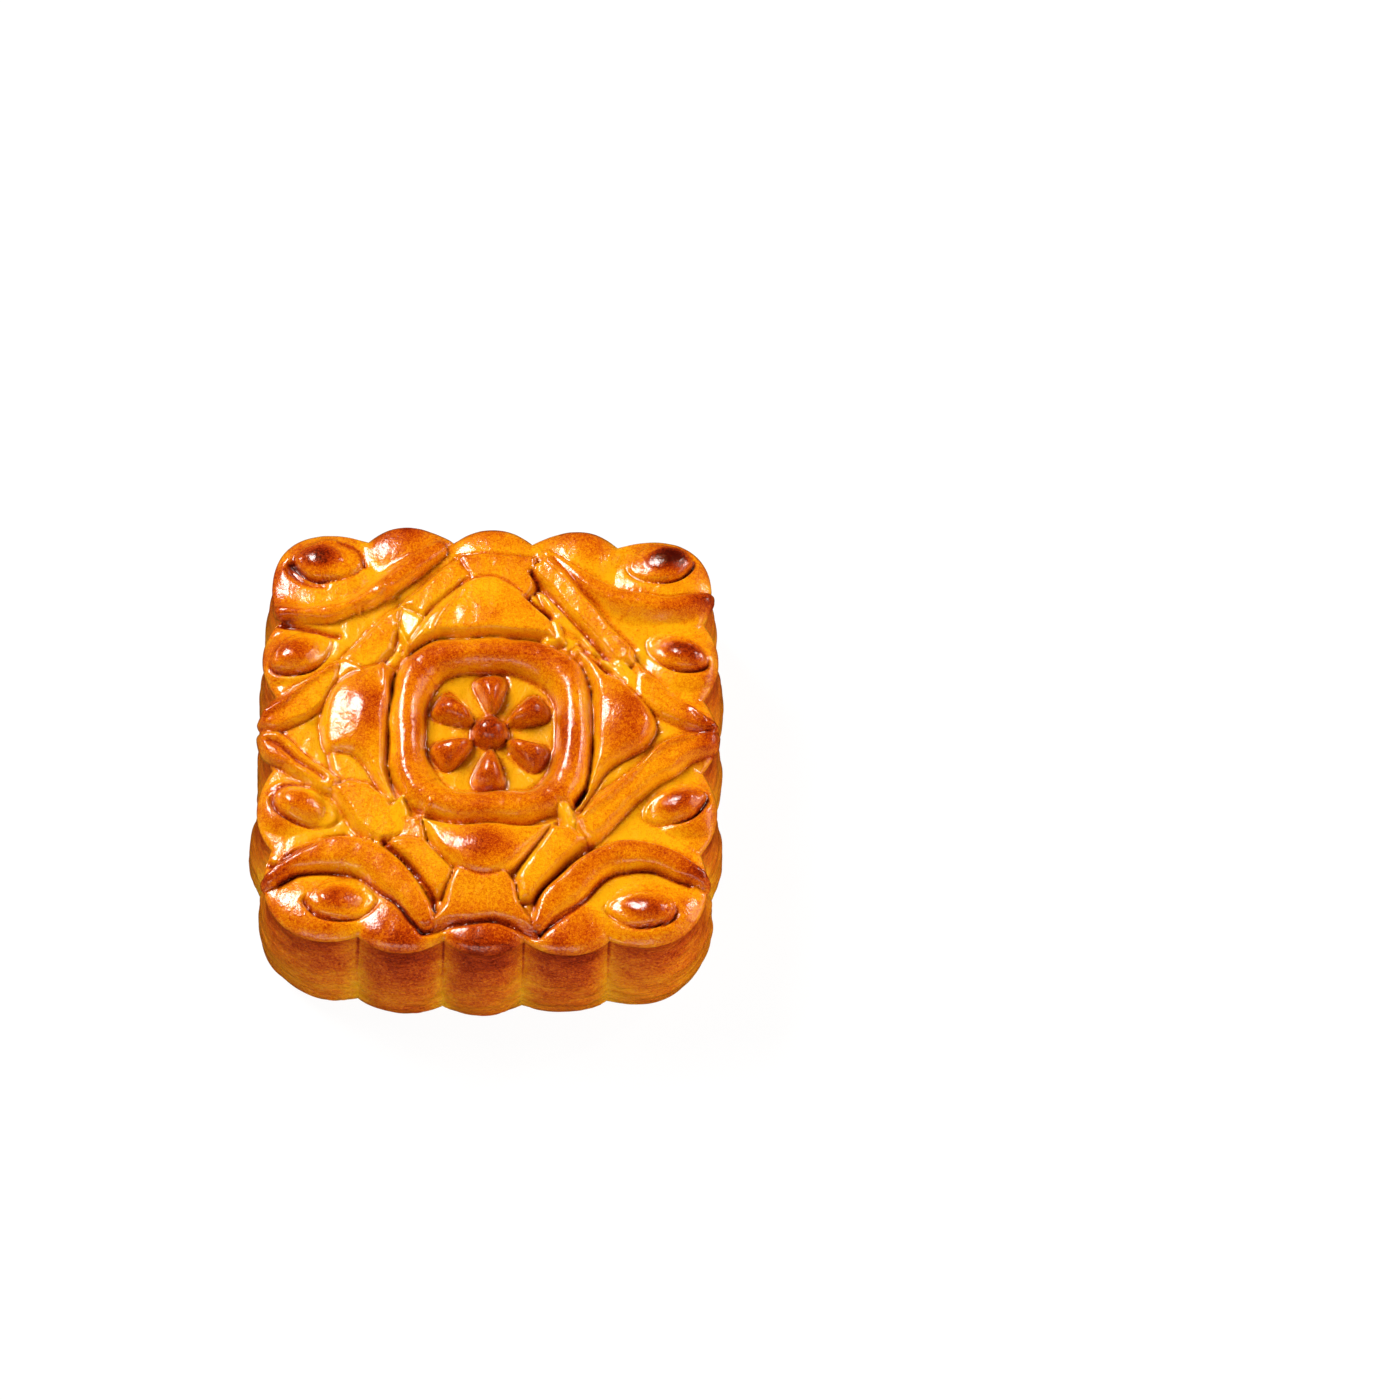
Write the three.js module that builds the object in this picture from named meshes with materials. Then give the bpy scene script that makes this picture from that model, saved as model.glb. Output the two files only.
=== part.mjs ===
// A square fluted mooncake, made as one solid: a block of filled pastry with a moulded
// pattern in relief on its top, baked until its sides swell out below the lip.
// Millimetres, +Z up. The origin is the middle of the flat underside.

import * as THREE from 'three';

// ---- the pressed block ----
const HALF_WIDTH = 37.4;        // middle of the cake to the widest bulge of a side
const FRONT_SQUARENESS = 5.0;   // exponent of the superellipse that the plan follows in front
const BACK_SQUARENESS = 6.8;    // and at the back, where the corners came out squarer
const FLOOR_HEIGHT = 25.9;      // underside to the floor of the pattern, at the middle
const CROWN = 0.3;              // how much lower that floor lies at the shoulder
const SHOULDER_WIDTH = 3.0;     // plan width of the rounded edge of the top

// Flutes: where their creases cross a side, as fractions of the half width, and how much
// flatter the long flute round each corner is than the three along a side.
const FLUTE_CREASES = [1 / 6, 8 / 15];
const SIDE_FLUTE_POWER = 2.2;
const CORNER_FLUTE_POWER = 3.2;
const CREASE_START = 0.75;      // where on the way out to the lip the creases begin

// How far the creases of the right, back, left and front sides slipped along their side in
// baking, and how far the whole top slipped on the foot.
const CREASE_SLIP = [0.042, 0, -0.016, 0];
const TOP_SLIP = [0.25, 0.1];

// The wall from the lip down: height, distance in from the widest bulge, depth of the flute
// creases, and how much of each flute's own swelling it takes.
const WALL = [
  { z: 24.6, inset: 1.5, crease: 2.2, swell: 0.2 },
  { z: 22.0, inset: 2.05, crease: 2.5, swell: 0.4 },
  { z: 16.5, inset: 1.1, crease: 2.2, swell: 0.8 },
  { z: 10.5, inset: 0.1, crease: 1.8, swell: 1 },
  { z: 5.0, inset: 0.05, crease: 1.7, swell: 1 },
  { z: 1.2, inset: 1.05, crease: 1.6, swell: 1 },
  { z: 0.0, inset: 2.6, crease: 1.5, swell: 1 },
];
const LIP = WALL[0];

// Angles of the flutes in one quarter, from the middle of a side, and how far each of the
// sixteen swelled past the mean, anticlockwise from the middle of the right side.
const FLUTE_ANGLES = [0, 19.3, 45, 70.7].map(THREE.MathUtils.degToRad);
const FLUTE_SWELL = [
  -0.1, 0.1, -0.4, 0,
  0.1, 0, -0.3, -0.9,
  -0.9, 0, -0.8, 0.1,
  0.2, -0.7, -0.8, 0,
];

// Mesh: cells across the top; the wall then has four times as many columns.
const CELLS = 64;

// ---- the pattern, in plan coordinates ----
const RELIEF = 1.35;            // how much of every rise below shows in the baked cake
const RELIEF_FADE = 2.6;        // plan width over which the pattern dies away at the lip
const LIP_RELIEF = 0.2;         // the share of it that is left on the lip
const FILL = 0.5;               // how far dough creeps past the outlines of pads and lobes
const MELT_REACH = 0.75;        // how far the edges of the forms melt in baking
const BODY_SHARE = 0.35;        // how much the dough swells as a whole where forms crowd
const BODY_LEVEL = 0.9;         // the mean height that neither swells nor sinks
const BODY_REACH = 3.2;         // the neighbourhood that counts for it
const THINNEST = 0.2;           // the least that a leaning cushion rises
const ROUND_TOP = 2.6;          // exponent of the round-topped sections: 2 would be a parabola

// The diamond frame: leaf-shaped strips and the folded knots at their joints, each with its
// outline, its rise and its lean to the right and to the back in mm a mm.
const STRIP_EDGE = 1.8;
const STRIP_RISE = 1.3;
const STRIPS = [
  { rise: 1.25, lean: [0, 0], outline: [
    [-13.8, 22.3], [-10.0, 26.1], [-4.9, 31.1], [-2.9, 27.2], [-6.8, 24.2], [-10.4, 20.3]] },
  { rise: 1.2, lean: [-0.06, 0.05], outline: [
    [-13.9, 21.9], [-18.7, 17.9], [-22.8, 12.8], [-19.2, 10.2], [-15.2, 14.6], [-14.2, 18.4]] },
  { rise: 1.35, lean: [-0.05, 0.05], outline: [
    [-23.0, 12.6], [-30.1, 7.5], [-36.0, 1.7], [-32.5, 0.5], [-25.4, 5.0], [-23.8, 8.6]] },
  { rise: 1.3, lean: [0.04, 0.06], outline: [
    [-36.0, 0.2], [-32.5, -0.2], [-27.1, -5.2], [-22.8, -8.0], [-23.6, -10.0], [-31.0, -5.6],
    [-35.5, -2.8]] },
  { rise: 1.5, lean: [0, 0.06], outline: [
    [-23.6, -9.4], [-18.3, -8.9], [-15.3, -11.2], [-13.6, -17.0], [-15.7, -18.4], [-20.0, -15.4]] },
  { rise: 1.5, lean: [0, 0.05], outline: [
    [-13.1, -17.8], [-9.6, -18.0], [-4.8, -23.3], [-7.3, -26.8], [-11.9, -21.4], [-15.2, -18.9]] },
  { rise: 1.15, lean: [0.08, 0], outline: [
    [7.2, 29.9], [8.8, 29.2], [15.2, 22.2], [13.9, 21.1], [9.5, 20.2], [7.0, 24.8]] },
  { rise: 1.2, lean: [0.05, 0], outline: [
    [13.9, 20.9], [15.7, 21.6], [22.3, 14.5], [22.9, 13.0], [18.2, 13.3], [14.2, 17.4]] },
  { rise: 1.35, lean: [0.03, 0], outline: [
    [23.2, 13.2], [27.4, 8.6], [35.9, 2.8], [35.5, 1.5], [26.9, 4.4], [23.2, 6.9]] },
  { rise: 1.4, lean: [0.03, -0.04], outline: [
    [35.9, 1.2], [30.1, 0.6], [24.2, -4.7], [21.6, -7.6], [23.0, -9.0], [30.5, -4.0], [35.7, -0.9]] },
  { rise: 1.6, lean: [0.04, 0], outline: [
    [20.7, -7.6], [23.1, -9.9], [21.6, -11.9], [16.1, -17.4], [14.3, -15.9], [17.6, -9.6]] },
  { rise: 1.5, lean: [0, 0.04], outline: [
    [10.3, -15.3], [13.5, -15.9], [15.3, -17.5], [10.7, -22.5], [7.3, -27.1], [6.0, -27.3],
    [5.3, -24.0], [8.5, -19.1]] },
];
const KNOT_EDGE = 1.1;
const KNOTS = [
  { rise: 1.5, lean: [0.22, 0], outline: [
    [-13.9, 21.7], [-10.6, 19.8], [-11.4, 17.0], [-13.2, 15.0], [-14.0, 18.4]] },
  { rise: 1.9, lean: [0.24, 0.1], outline: [[-22.9, 12.5], [-19.0, 9.9], [-21.0, 6.6], [-24.7, 5.4]] },
  { rise: 2.0, lean: [-0.2, 0.05], outline: [
    [-12.9, -10.9], [-15.0, -13.6], [-14.1, -17.5], [-12.6, -17.0], [-11.8, -13.6]] },
  { rise: 2.0, lean: [0.1, 0.05], outline: [[-13.2, -14.3], [-10.1, -14.6], [-9.4, -18.1], [-12.8, -18.3]] },
  { rise: 1.9, lean: [0.3, 0], outline: [[8.4, 19.6], [10.2, 20.1], [11.6, 16.6], [8.8, 15.8]] },
  { rise: 1.7, lean: [0.2, 0.1], outline: [[11.3, 21.1], [14.0, 21.3], [14.5, 17.6], [12.5, 16.8]] },
  { rise: 1.7, lean: [0.16, 0.12], outline: [[17.9, 13.3], [22.3, 14.6], [23.4, 10.6], [21.2, 9.6]] },
  { rise: 1.9, lean: [-0.3, 0], outline: [[21.4, 10.4], [23.4, 10.9], [23.5, 6.8], [21.9, 7.6]] },
  { rise: 2.1, lean: [-0.25, 0], outline: [
    [11.0, -11.2], [12.8, -11.4], [14.4, -15.8], [15.5, -17.4], [13.0, -16.6]] },
];

// The rosette: a flower of six petals round a boss, inside a thick rounded square ring.
const ROSETTE_CENTRE = [0.5, 0.9];
const FIELD_HALF = 16.0;
const FIELD_SQUARENESS = 3.4;
const RING_MIDDLE = 13.1;
const RING_HALF_WIDTH = 3.1;
const RING_RISE = 2.7;
const PETALS = 6;
const PETAL_START = 2.6;
const PETAL_END = 10.2;
const PETAL_HALF_WIDTH = 2.9;
const PETAL_TAPER = 0.5;
const PETAL_NARROWEST = -1.2;   // where on the petal, in half lengths, it stops narrowing
const PETAL_RISE = 2.6;
const BOSS_RADIUS = 3.0;
const BOSS_RISE = 2.8;

// Four broad pointed lobes between the rosette and the frame: the outer edge, the rise, and
// the crest's centre, radii and further rise.
const LOBE_EDGE = 2.3;
const LOBE_ROUNDNESS = 2.2;     // exponent of the fall towards a lobe's edge
const FIELD_SLOPE = 1.6;        // how steeply it falls to the rosette, against that edge
const LOBES = [
  { rise: 2.1, crest: { at: [0.2, 20.0], radii: [6.0, 4.0], rise: 0.5 }, outer: [
    [-13.5, 11.5], [-12.9, 15.5], [-8.6, 22.0], [-2.6, 27.1], [0.3, 27.7], [2.6, 26.9],
    [7.1, 22.6], [11.5, 15.0]] },
  { rise: 2.2, crest: { at: [-21.4, 3.6], radii: [3.6, 6.0], rise: 0.7 }, outer: [
    [-14.5, -12.4], [-18.3, -6.0], [-20.9, -3.2], [-24.0, -3.3], [-25.7, 1.2], [-24.4, 7.0],
    [-22.0, 10.3], [-16.5, 11.8]] },
  { rise: 2.2, crest: { at: [-0.4, -19.6], radii: [5.4, 3.4], rise: 0.9 }, outer: [
    [11.4, -13.0], [9.1, -17.2], [4.7, -22.2], [0.4, -24.3], [-4.0, -22.8], [-8.5, -17.8],
    [-10.4, -13.0]] },
  { rise: 2.1, crest: { at: [21.3, 3.6], radii: [3.4, 5.0], rise: 0.6 }, outer: [
    [14.0, 15.8], [18.7, 11.0], [21.4, 9.2], [25.6, 3.7], [24.6, -1.0], [18.9, -5.0],
    [14.4, -12.4]] },
];

// Four crescents sweep round the corners: places with the half width and the rise there, and
// which flank is steep, 1 for the left one of the way along them and -1 for the right one. The
// front two are broad bands, steep on both sides. The back two run out gently on one side.
const RUN_OUT = 0.6;            // how much wider than the steep flank the gentle one is
const BAND_TILT = 0.16;         // how much of its rise a band loses from its middle to an edge
const CRESCENTS = [
  { steepSide: -1, runsOut: true, path: [
    [-36.0, 21.7, 1.1, 1.1], [-28.5, 21.0, 1.5, 1.7], [-24.5, 21.3, 1.6, 1.8],
    [-20.2, 23.2, 1.8, 1.8], [-15.9, 26.4, 2.1, 1.9], [-8.4, 32.6, 1.3, 1.3]] },
  { steepSide: 1, runsOut: true, path: [
    [8.8, 32.0, 1.1, 1.2], [14.4, 27.1, 2.1, 1.9], [18.8, 24.7, 2.3, 2.0],
    [24.5, 23.2, 2.4, 2.0], [30.2, 23.4, 2.1, 1.8], [36.0, 25.4, 1.5, 1.3]] },
  { steepSide: -1, runsOut: false, path: [
    [-35.0, -26.0, 0.8, 1.2], [-29.4, -21.6, 2.2, 1.9], [-25.2, -20.3, 2.8, 2.0],
    [-20.3, -20.3, 3.2, 2.1], [-16.6, -22.0, 3.3, 2.1], [-13.0, -25.4, 3.0, 2.0],
    [-8.8, -31.4, 1.5, 1.5]] },
  { steepSide: 1, runsOut: false, path: [
    [35.0, -24.4, 0.8, 1.2], [31.1, -21.6, 1.8, 1.9], [27.2, -20.0, 2.2, 2.0],
    [22.9, -19.4, 2.3, 2.1], [19.0, -20.3, 2.6, 2.1], [13.4, -25.1, 2.8, 2.0],
    [8.7, -31.2, 1.5, 1.5]] },
];

// Plain domes on the flutes of the back and the front, and pillows that fill the corners and
// the flutes of both sides.
const DOME_ROUNDNESS = 2.4;     // exponent of a dome's section
const PILLOW_ROUNDNESS = 2.0;
const DOMES = [
  { at: [-14.2, 33.4], radius: 5.8, rise: 1.3 },
  { at: [0.6, 33.8], radius: 6.0, rise: 1.1 },
  { at: [14.6, 33.0], radius: 5.8, rise: 1.2 },
  { at: [-13.6, -31.8], radius: 6.0, rise: 0.9 },
  { at: [0.5, -33.6], radius: 6.4, rise: 0.9 },
  { at: [13.8, -32.0], radius: 6.0, rise: 0.9 },
];
const PILLOWS = [
  { at: [-27.0, 28.5], radii: [8.0, 7.0], rise: 1.0 },
  { at: [27.0, 28.5], radii: [8.0, 7.0], rise: 1.0 },
  { at: [-25.5, -29.0], radii: [8.0, 6.0], rise: 1.0 },
  { at: [26.5, -29.0], radii: [8.0, 6.0], rise: 1.0 },
  { at: [-31.0, 13.2], radii: [6.5, 5.0], rise: 1.1 },
  { at: [-30.5, -12.2], radii: [6.0, 5.0], rise: 1.1 },
  { at: [31.0, 14.0], radii: [6.5, 5.2], rise: 1.1 },
  { at: [31.5, -11.4], radii: [6.0, 5.0], rise: 1.1 },
];

// Panels that close the ends of the frame at the back and in front.
const PANEL_EDGE = 1.3;
const PANELS = [
  { rise: 1.4, lean: [0, 0.06], outline: [[-5.0, 31.4], [6.8, 31.2], [7.2, 27.0], [5.4, 24.0], [-4.9, 24.8]] },
  { rise: 1.5, lean: [0, 0.1], outline: [
    [-4.3, -22.8], [-6.0, -29.0], [-8.7, -32.6], [-2.3, -31.0], [1.1, -30.8], [8.6, -32.9],
    [5.5, -28.4], [3.1, -23.4]] },
];

// Almond buds, one in each corner and two on each of the left and right sides: a rounded
// body with a raised core.
const BUD_POINT = 1.6;          // exponent across a bud: below 2 its ends come to a point
const BUD_ROUNDNESS = 0.6;      // exponent of its section: 0.5 would be half an ellipse
const BUD_CORE_RISE = 0.5;
const BUD_CORE = 0.62;          // size of the core, as a share of the bud
const BUD_CORE_EDGE = 0.5;      // how gently the core rises, as a share of its own size
const BUDS = [
  { at: [-25.6, 30.4], length: 5.6, width: 3.6, tilt: 2, rise: 1.1 },
  { at: [26.8, 30.8], length: 5.2, width: 3.3, tilt: 10, rise: 1.1 },
  { at: [-21.9, -28.0], length: 5.6, width: 3.2, tilt: 3, rise: 1.0 },
  { at: [24.4, -28.5], length: 5.4, width: 2.9, tilt: -4, rise: 1.0 },
  { at: [-29.4, 14.1], length: 5.3, width: 3.2, tilt: 30, rise: 1.2 },
  { at: [-28.7, -11.8], length: 5.5, width: 3.0, tilt: -20, rise: 1.15 },
  { at: [29.5, 15.4], length: 5.0, width: 2.9, tilt: -25, rise: 1.15 },
  { at: [29.4, -11.0], length: 5.2, width: 2.8, tilt: 22, rise: 1.15 },
];

// ---- small mathematics ----
const clamp01 = (value) => Math.min(Math.max(value, 0), 1);
const smoothstep = (value) => clamp01(value) ** 2 * (3 - 2 * clamp01(value));
const mix = (a, b, share) => a + (b - a) * share;
const BELL_REACH = 2.5;         // where a bell curve is cut, in standard deviations

/** Plan coordinates turned into a form's own: along its length, then across it. */
function local(x, y, [centreX, centreY], angle) {
  const dx = x - centreX;
  const dy = y - centreY;
  return [dx * Math.cos(angle) + dy * Math.sin(angle), dy * Math.cos(angle) - dx * Math.sin(angle)];
}

/** The nearest place on the stretch from a to b: its distance, its side and its share. */
function nearestOnStretch(x, y, a, b) {
  const runX = b[0] - a[0];
  const runY = b[1] - a[1];
  const dx = x - a[0];
  const dy = y - a[1];
  const share = clamp01((dx * runX + dy * runY) / (runX * runX + runY * runY));
  const distance = Math.hypot(dx - share * runX, dy - share * runY);
  return { distance, onLeft: runX * dy - runY * dx > 0, share };
}

/** Distance in from a closed outline, negative outside it. */
function insideOf(x, y, corners) {
  let distance = Infinity;
  let inside = false;
  corners.forEach((from, index) => {
    const to = corners[(index + 1) % corners.length];
    distance = Math.min(distance, nearestOnStretch(x, y, from, to).distance);
    if ((from[1] > y) !== (to[1] > y)) {
      const crossing = from[0] + ((y - from[1]) * (to[0] - from[0])) / (to[1] - from[1]);
      if (x < crossing) inside = !inside;
    }
  });
  return inside ? distance : -distance;
}

/** A Catmull-Rom curve through places of any number of columns. */
function smoothPath(places, steps) {
  const last = places.length - 1;
  const beyond = (edge, inner) => edge.map((value, column) => 2 * value - inner[column]);
  const padded = [beyond(places[0], places[1]), ...places, beyond(places[last], places[last - 1])];
  return Array.from({ length: steps + 1 }, (_, step) => {
    const along = (step / steps) * last;
    const index = Math.min(Math.floor(along), last - 1);
    const t = along - index;
    const [before, start, end, after] = padded.slice(index, index + 4);
    return start.map((value, column) => 0.5 * (2 * value + (end[column] - before[column]) * t
      + (2 * before[column] - 5 * value + 4 * end[column] - after[column]) * t ** 2
      + (3 * value - before[column] - 3 * end[column] + after[column]) * t ** 3));
  });
}

// ---- the forms of the pattern: each gives a height over the floor, negative outside ----

/** A cushion on a closed outline, tilted by its lean, with a rounded edge. */
function pad({ outline, rise, lean }, edge, share = 1) {
  const count = outline.length;
  const middle = [0, 1].map((column) => outline.reduce((sum, corner) => sum + corner[column], 0) / count);
  return (x, y) => {
    const inside = insideOf(x, y, outline) + FILL;
    const top = Math.max(share * rise + lean[0] * (x - middle[0]) + lean[1] * (y - middle[1]), THINNEST);
    return top * (1 - Math.max(1 - inside / edge, 0) ** 2);
  };
}

/** A ridge along a smooth path whose half width and rise change on the way. A steep flank
 * falls by the fourth power of the distance, a gentle one as a bell that ends flat. */
function crescent({ path, steepSide, runsOut }) {
  const route = smoothPath(path, 30);
  return (x, y) => {
    let best = { distance: Infinity };
    for (let i = 0; i < route.length - 1; i += 1) {
      const near = nearestOnStretch(x, y, route[i], route[i + 1]);
      if (near.distance < best.distance) best = { ...near, from: route[i], to: route[i + 1] };
    }
    const halfWidth = mix(best.from[2], best.to[2], best.share);
    const rise = mix(best.from[3], best.to[3], best.share);
    const place = (steepSide * (best.onLeft ? 1 : -1) * best.distance) / halfWidth;
    const tilt = runsOut ? 1 : 1 - BAND_TILT * Math.min(Math.max(place, -1), 1);
    if (place > 0 || !runsOut) return rise * tilt * (1 - place ** 4);
    const share = Math.abs(place) / (1 + RUN_OUT);
    return rise * (Math.max(1 - share ** 2, 0) ** 2 - Math.max(share - 1, 0));
  };
}

/** How far a place lies from the middle of the rosette's field, which ends at 1. */
function fieldReach(x, y) {
  const dx = Math.abs(x - ROSETTE_CENTRE[0]) / FIELD_HALF;
  const dy = Math.abs(y - ROSETTE_CENTRE[1]) / FIELD_HALF;
  return (dx ** FIELD_SQUARENESS + dy ** FIELD_SQUARENESS) ** (1 / FIELD_SQUARENESS);
}

/** The thick ring round the flower. */
function ring(x, y) {
  const spread = Math.abs(fieldReach(x, y) * FIELD_HALF - RING_MIDDLE) / RING_HALF_WIDTH;
  return RING_RISE * (1 - spread ** ROUND_TOP);
}

/** A petal: a drop with its narrow end at the boss and its round end outside. */
function petal(angle) {
  const halfLength = (PETAL_END - PETAL_START) / 2;
  return (x, y) => {
    const [along, across] = local(x, y, ROSETTE_CENTRE, angle);
    const place = (along - PETAL_START) / halfLength - 1;
    const taper = 1 + PETAL_TAPER * Math.min(Math.max(place, PETAL_NARROWEST), 1) - PETAL_TAPER / 2;
    const beside = Math.abs(across / (PETAL_HALF_WIDTH * taper));
    return PETAL_RISE * (1 - Math.abs(place) ** ROUND_TOP - beside ** ROUND_TOP);
  };
}

/** A pointed lobe: a cushion between its outer edge and the rosette, with a soft crest. */
function lobe({ outer, rise, crest }) {
  const outline = [...smoothPath(outer, 20), ROSETTE_CENTRE];
  return (x, y) => {
    const fromField = (fieldReach(x, y) - 1) * FIELD_HALF;
    const inside = Math.min(insideOf(x, y, outline) + FILL, fromField * FIELD_SLOPE);
    const dx = (x - crest.at[0]) / crest.radii[0];
    const dy = (y - crest.at[1]) / crest.radii[1];
    const edge = Math.max(1 - inside / LOBE_EDGE, 0);
    return rise * (1 - edge ** LOBE_ROUNDNESS) + crest.rise * Math.exp(-dx * dx - dy * dy);
  };
}

/** A dome on an ellipse in plan. */
function dome({ at, radii, rise }, power) {
  return (x, y) => rise * (1 - Math.hypot((x - at[0]) / radii[0], (y - at[1]) / radii[1]) ** power);
}

/** The body and core of a bud, which stand on whatever lies under them. */
function bud({ at, length, width, tilt, rise }) {
  const angle = THREE.MathUtils.degToRad(tilt);
  return (x, y) => {
    const [along, across] = local(x, y, at, angle);
    const lens = (along / length) ** 2 + Math.abs(across / width) ** BUD_POINT;
    const core = Math.hypot(along / length, across / width) / BUD_CORE;
    return rise * Math.max(1 - lens, 0) ** BUD_ROUNDNESS
      + BUD_CORE_RISE * smoothstep((1 - core) / BUD_CORE_EDGE);
  };
}

const petalAngle = (number) => ((number + 0.5) * 2 * Math.PI) / PETALS;
const FORMS = [
  ...STRIPS.map((strip) => pad(strip, STRIP_EDGE, STRIP_RISE)),
  ...KNOTS.map((knot) => pad(knot, KNOT_EDGE)),
  ring,
  ...Array.from({ length: PETALS }, (_, number) => petal(petalAngle(number))),
  dome({ at: ROSETTE_CENTRE, radii: [BOSS_RADIUS, BOSS_RADIUS], rise: BOSS_RISE }, ROUND_TOP),
  ...LOBES.map(lobe),
  ...DOMES.map(({ at, radius, rise }) => dome({ at, radii: [radius, radius], rise }, DOME_ROUNDNESS)),
  ...PILLOWS.map((pillow) => dome(pillow, PILLOW_ROUNDNESS)),
  ...PANELS.map((panel) => pad(panel, PANEL_EDGE)),
  ...CRESCENTS.map(crescent),
];
const ON_TOP = BUDS.map(bud);

/** Height of the pattern over its floor at a place in plan. */
function patternHeight(x, y) {
  const ground = FORMS.reduce((height, form) => Math.max(height, form(x, y)), 0);
  return ON_TOP.reduce((height, form) => height + form(x, y), ground);
}

// ---- the body ----

/** Angle from the middle to a place on the unit square, and its place along its own side
 * from -1 to 1. The slip of that side moves the angle, most in the middle of the side. */
function direction(u, v) {
  const quarter = Math.round(Math.atan2(v, u) / (Math.PI / 2));
  const place = Math.tan(Math.atan2(v, u) - (quarter * Math.PI) / 2);
  const slip = CREASE_SLIP[(quarter + 4) % 4];
  return { angle: (quarter * Math.PI) / 2 + Math.atan(place + slip * (1 - place ** 2)), place };
}

/** 0 on the crest of a flute and 1 in a crease. */
function creaseDepth(placeOnSide) {
  const place = Math.abs(placeOnSide);
  const [inner, outer] = FLUTE_CREASES;
  if (place < inner) return (place / inner) ** SIDE_FLUTE_POWER;
  if (place < outer) {
    return Math.abs((2 * place - inner - outer) / (outer - inner)) ** SIDE_FLUTE_POWER;
  }
  const cornerHalf = Math.PI / 4 - Math.atan(outer);
  return (Math.abs(Math.PI / 4 - Math.atan(place)) / cornerHalf) ** CORNER_FLUTE_POWER;
}

/** How far the flutes nearest to a direction swelled. */
function fluteSwell(angle) {
  const turn = (angle + 2 * Math.PI) % (2 * Math.PI);
  const ringAngle = (index) => Math.floor(index / 4) * (Math.PI / 2) + FLUTE_ANGLES[index % 4];
  let index = FLUTE_SWELL.length - 1;
  while (index > 0 && ringAngle(index) > turn) index -= 1;
  const share = (turn - ringAngle(index)) / (ringAngle(index + 1) - ringAngle(index));
  return mix(FLUTE_SWELL[index], FLUTE_SWELL[(index + 1) % FLUTE_SWELL.length], share);
}

/** A point of the plan outline, moved in along its normal by an inset. */
function outlinePoint(angle, inset, swellShare) {
  const cos = Math.cos(angle);
  const sin = Math.sin(angle);
  const power = (BACK_SQUARENESS + FRONT_SQUARENESS + (BACK_SQUARENESS - FRONT_SQUARENESS) * sin) / 2;
  const radius = HALF_WIDTH / (Math.abs(cos) ** power + Math.abs(sin) ** power) ** (1 / power);
  const slope = (value) => Math.sign(value) * Math.abs(value) ** (power - 1);
  const normal = new THREE.Vector2(slope(cos), slope(sin)).normalize();
  const inward = inset - swellShare * fluteSwell(angle);
  return [radius * cos - inward * normal.x, radius * sin - inward * normal.y];
}

/** The unmoulded top at a place on the unit square: a low crown with a rounded edge. */
function topPoint(u, v) {
  const reach = Math.max(Math.abs(u), Math.abs(v));
  if (reach === 0) return [0, 0, FLOOR_HEIGHT];
  const { angle, place } = direction(u, v);
  const crease = LIP.crease * creaseDepth(place) * smoothstep((reach - CREASE_START) / (1 - CREASE_START));
  const [x, y] = outlinePoint(angle, LIP.inset + crease, LIP.swell);
  const round = clamp01(1 - ((1 - reach) * HALF_WIDTH) / SHOULDER_WIDTH);
  const shoulderDrop = FLOOR_HEIGHT - CROWN - LIP.z;
  const drop = CROWN * reach ** 3 + shoulderDrop * (1 - Math.sqrt(1 - round * round));
  return [reach * (x + TOP_SLIP[0]), reach * (y + TOP_SLIP[1]), FLOOR_HEIGHT - drop];
}

/** A square field averaged with weights that fall off as a bell curve, which is cut where it
 * is nearly nothing, first along its rows and then along its columns. */
function blurred(field, size, spread) {
  const half = Math.ceil(BELL_REACH * spread);
  const pass = (source, alongRow) => source.map((_, index) => {
    const row = Math.floor(index / size);
    const column = index % size;
    let total = 0;
    let weights = 0;
    for (let offset = -half; offset <= half; offset += 1) {
      const place = Math.min(Math.max((alongRow ? column : row) + offset, 0), size - 1);
      const weight = Math.exp(-((offset / spread) ** 2) / 2);
      total += weight * source[alongRow ? row * size + place : place * size + column];
      weights += weight;
    }
    return total / weights;
  });
  return pass(pass(field, true), false);
}

/** The grid place of step number i on the walk round the edge of the top. */
function edgePlace(i) {
  const side = Math.floor(i / CELLS);
  const along = i % CELLS;
  return [
    [along, 0], [CELLS, along], [CELLS - along, CELLS], [0, CELLS - along],
  ][side];
}

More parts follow.
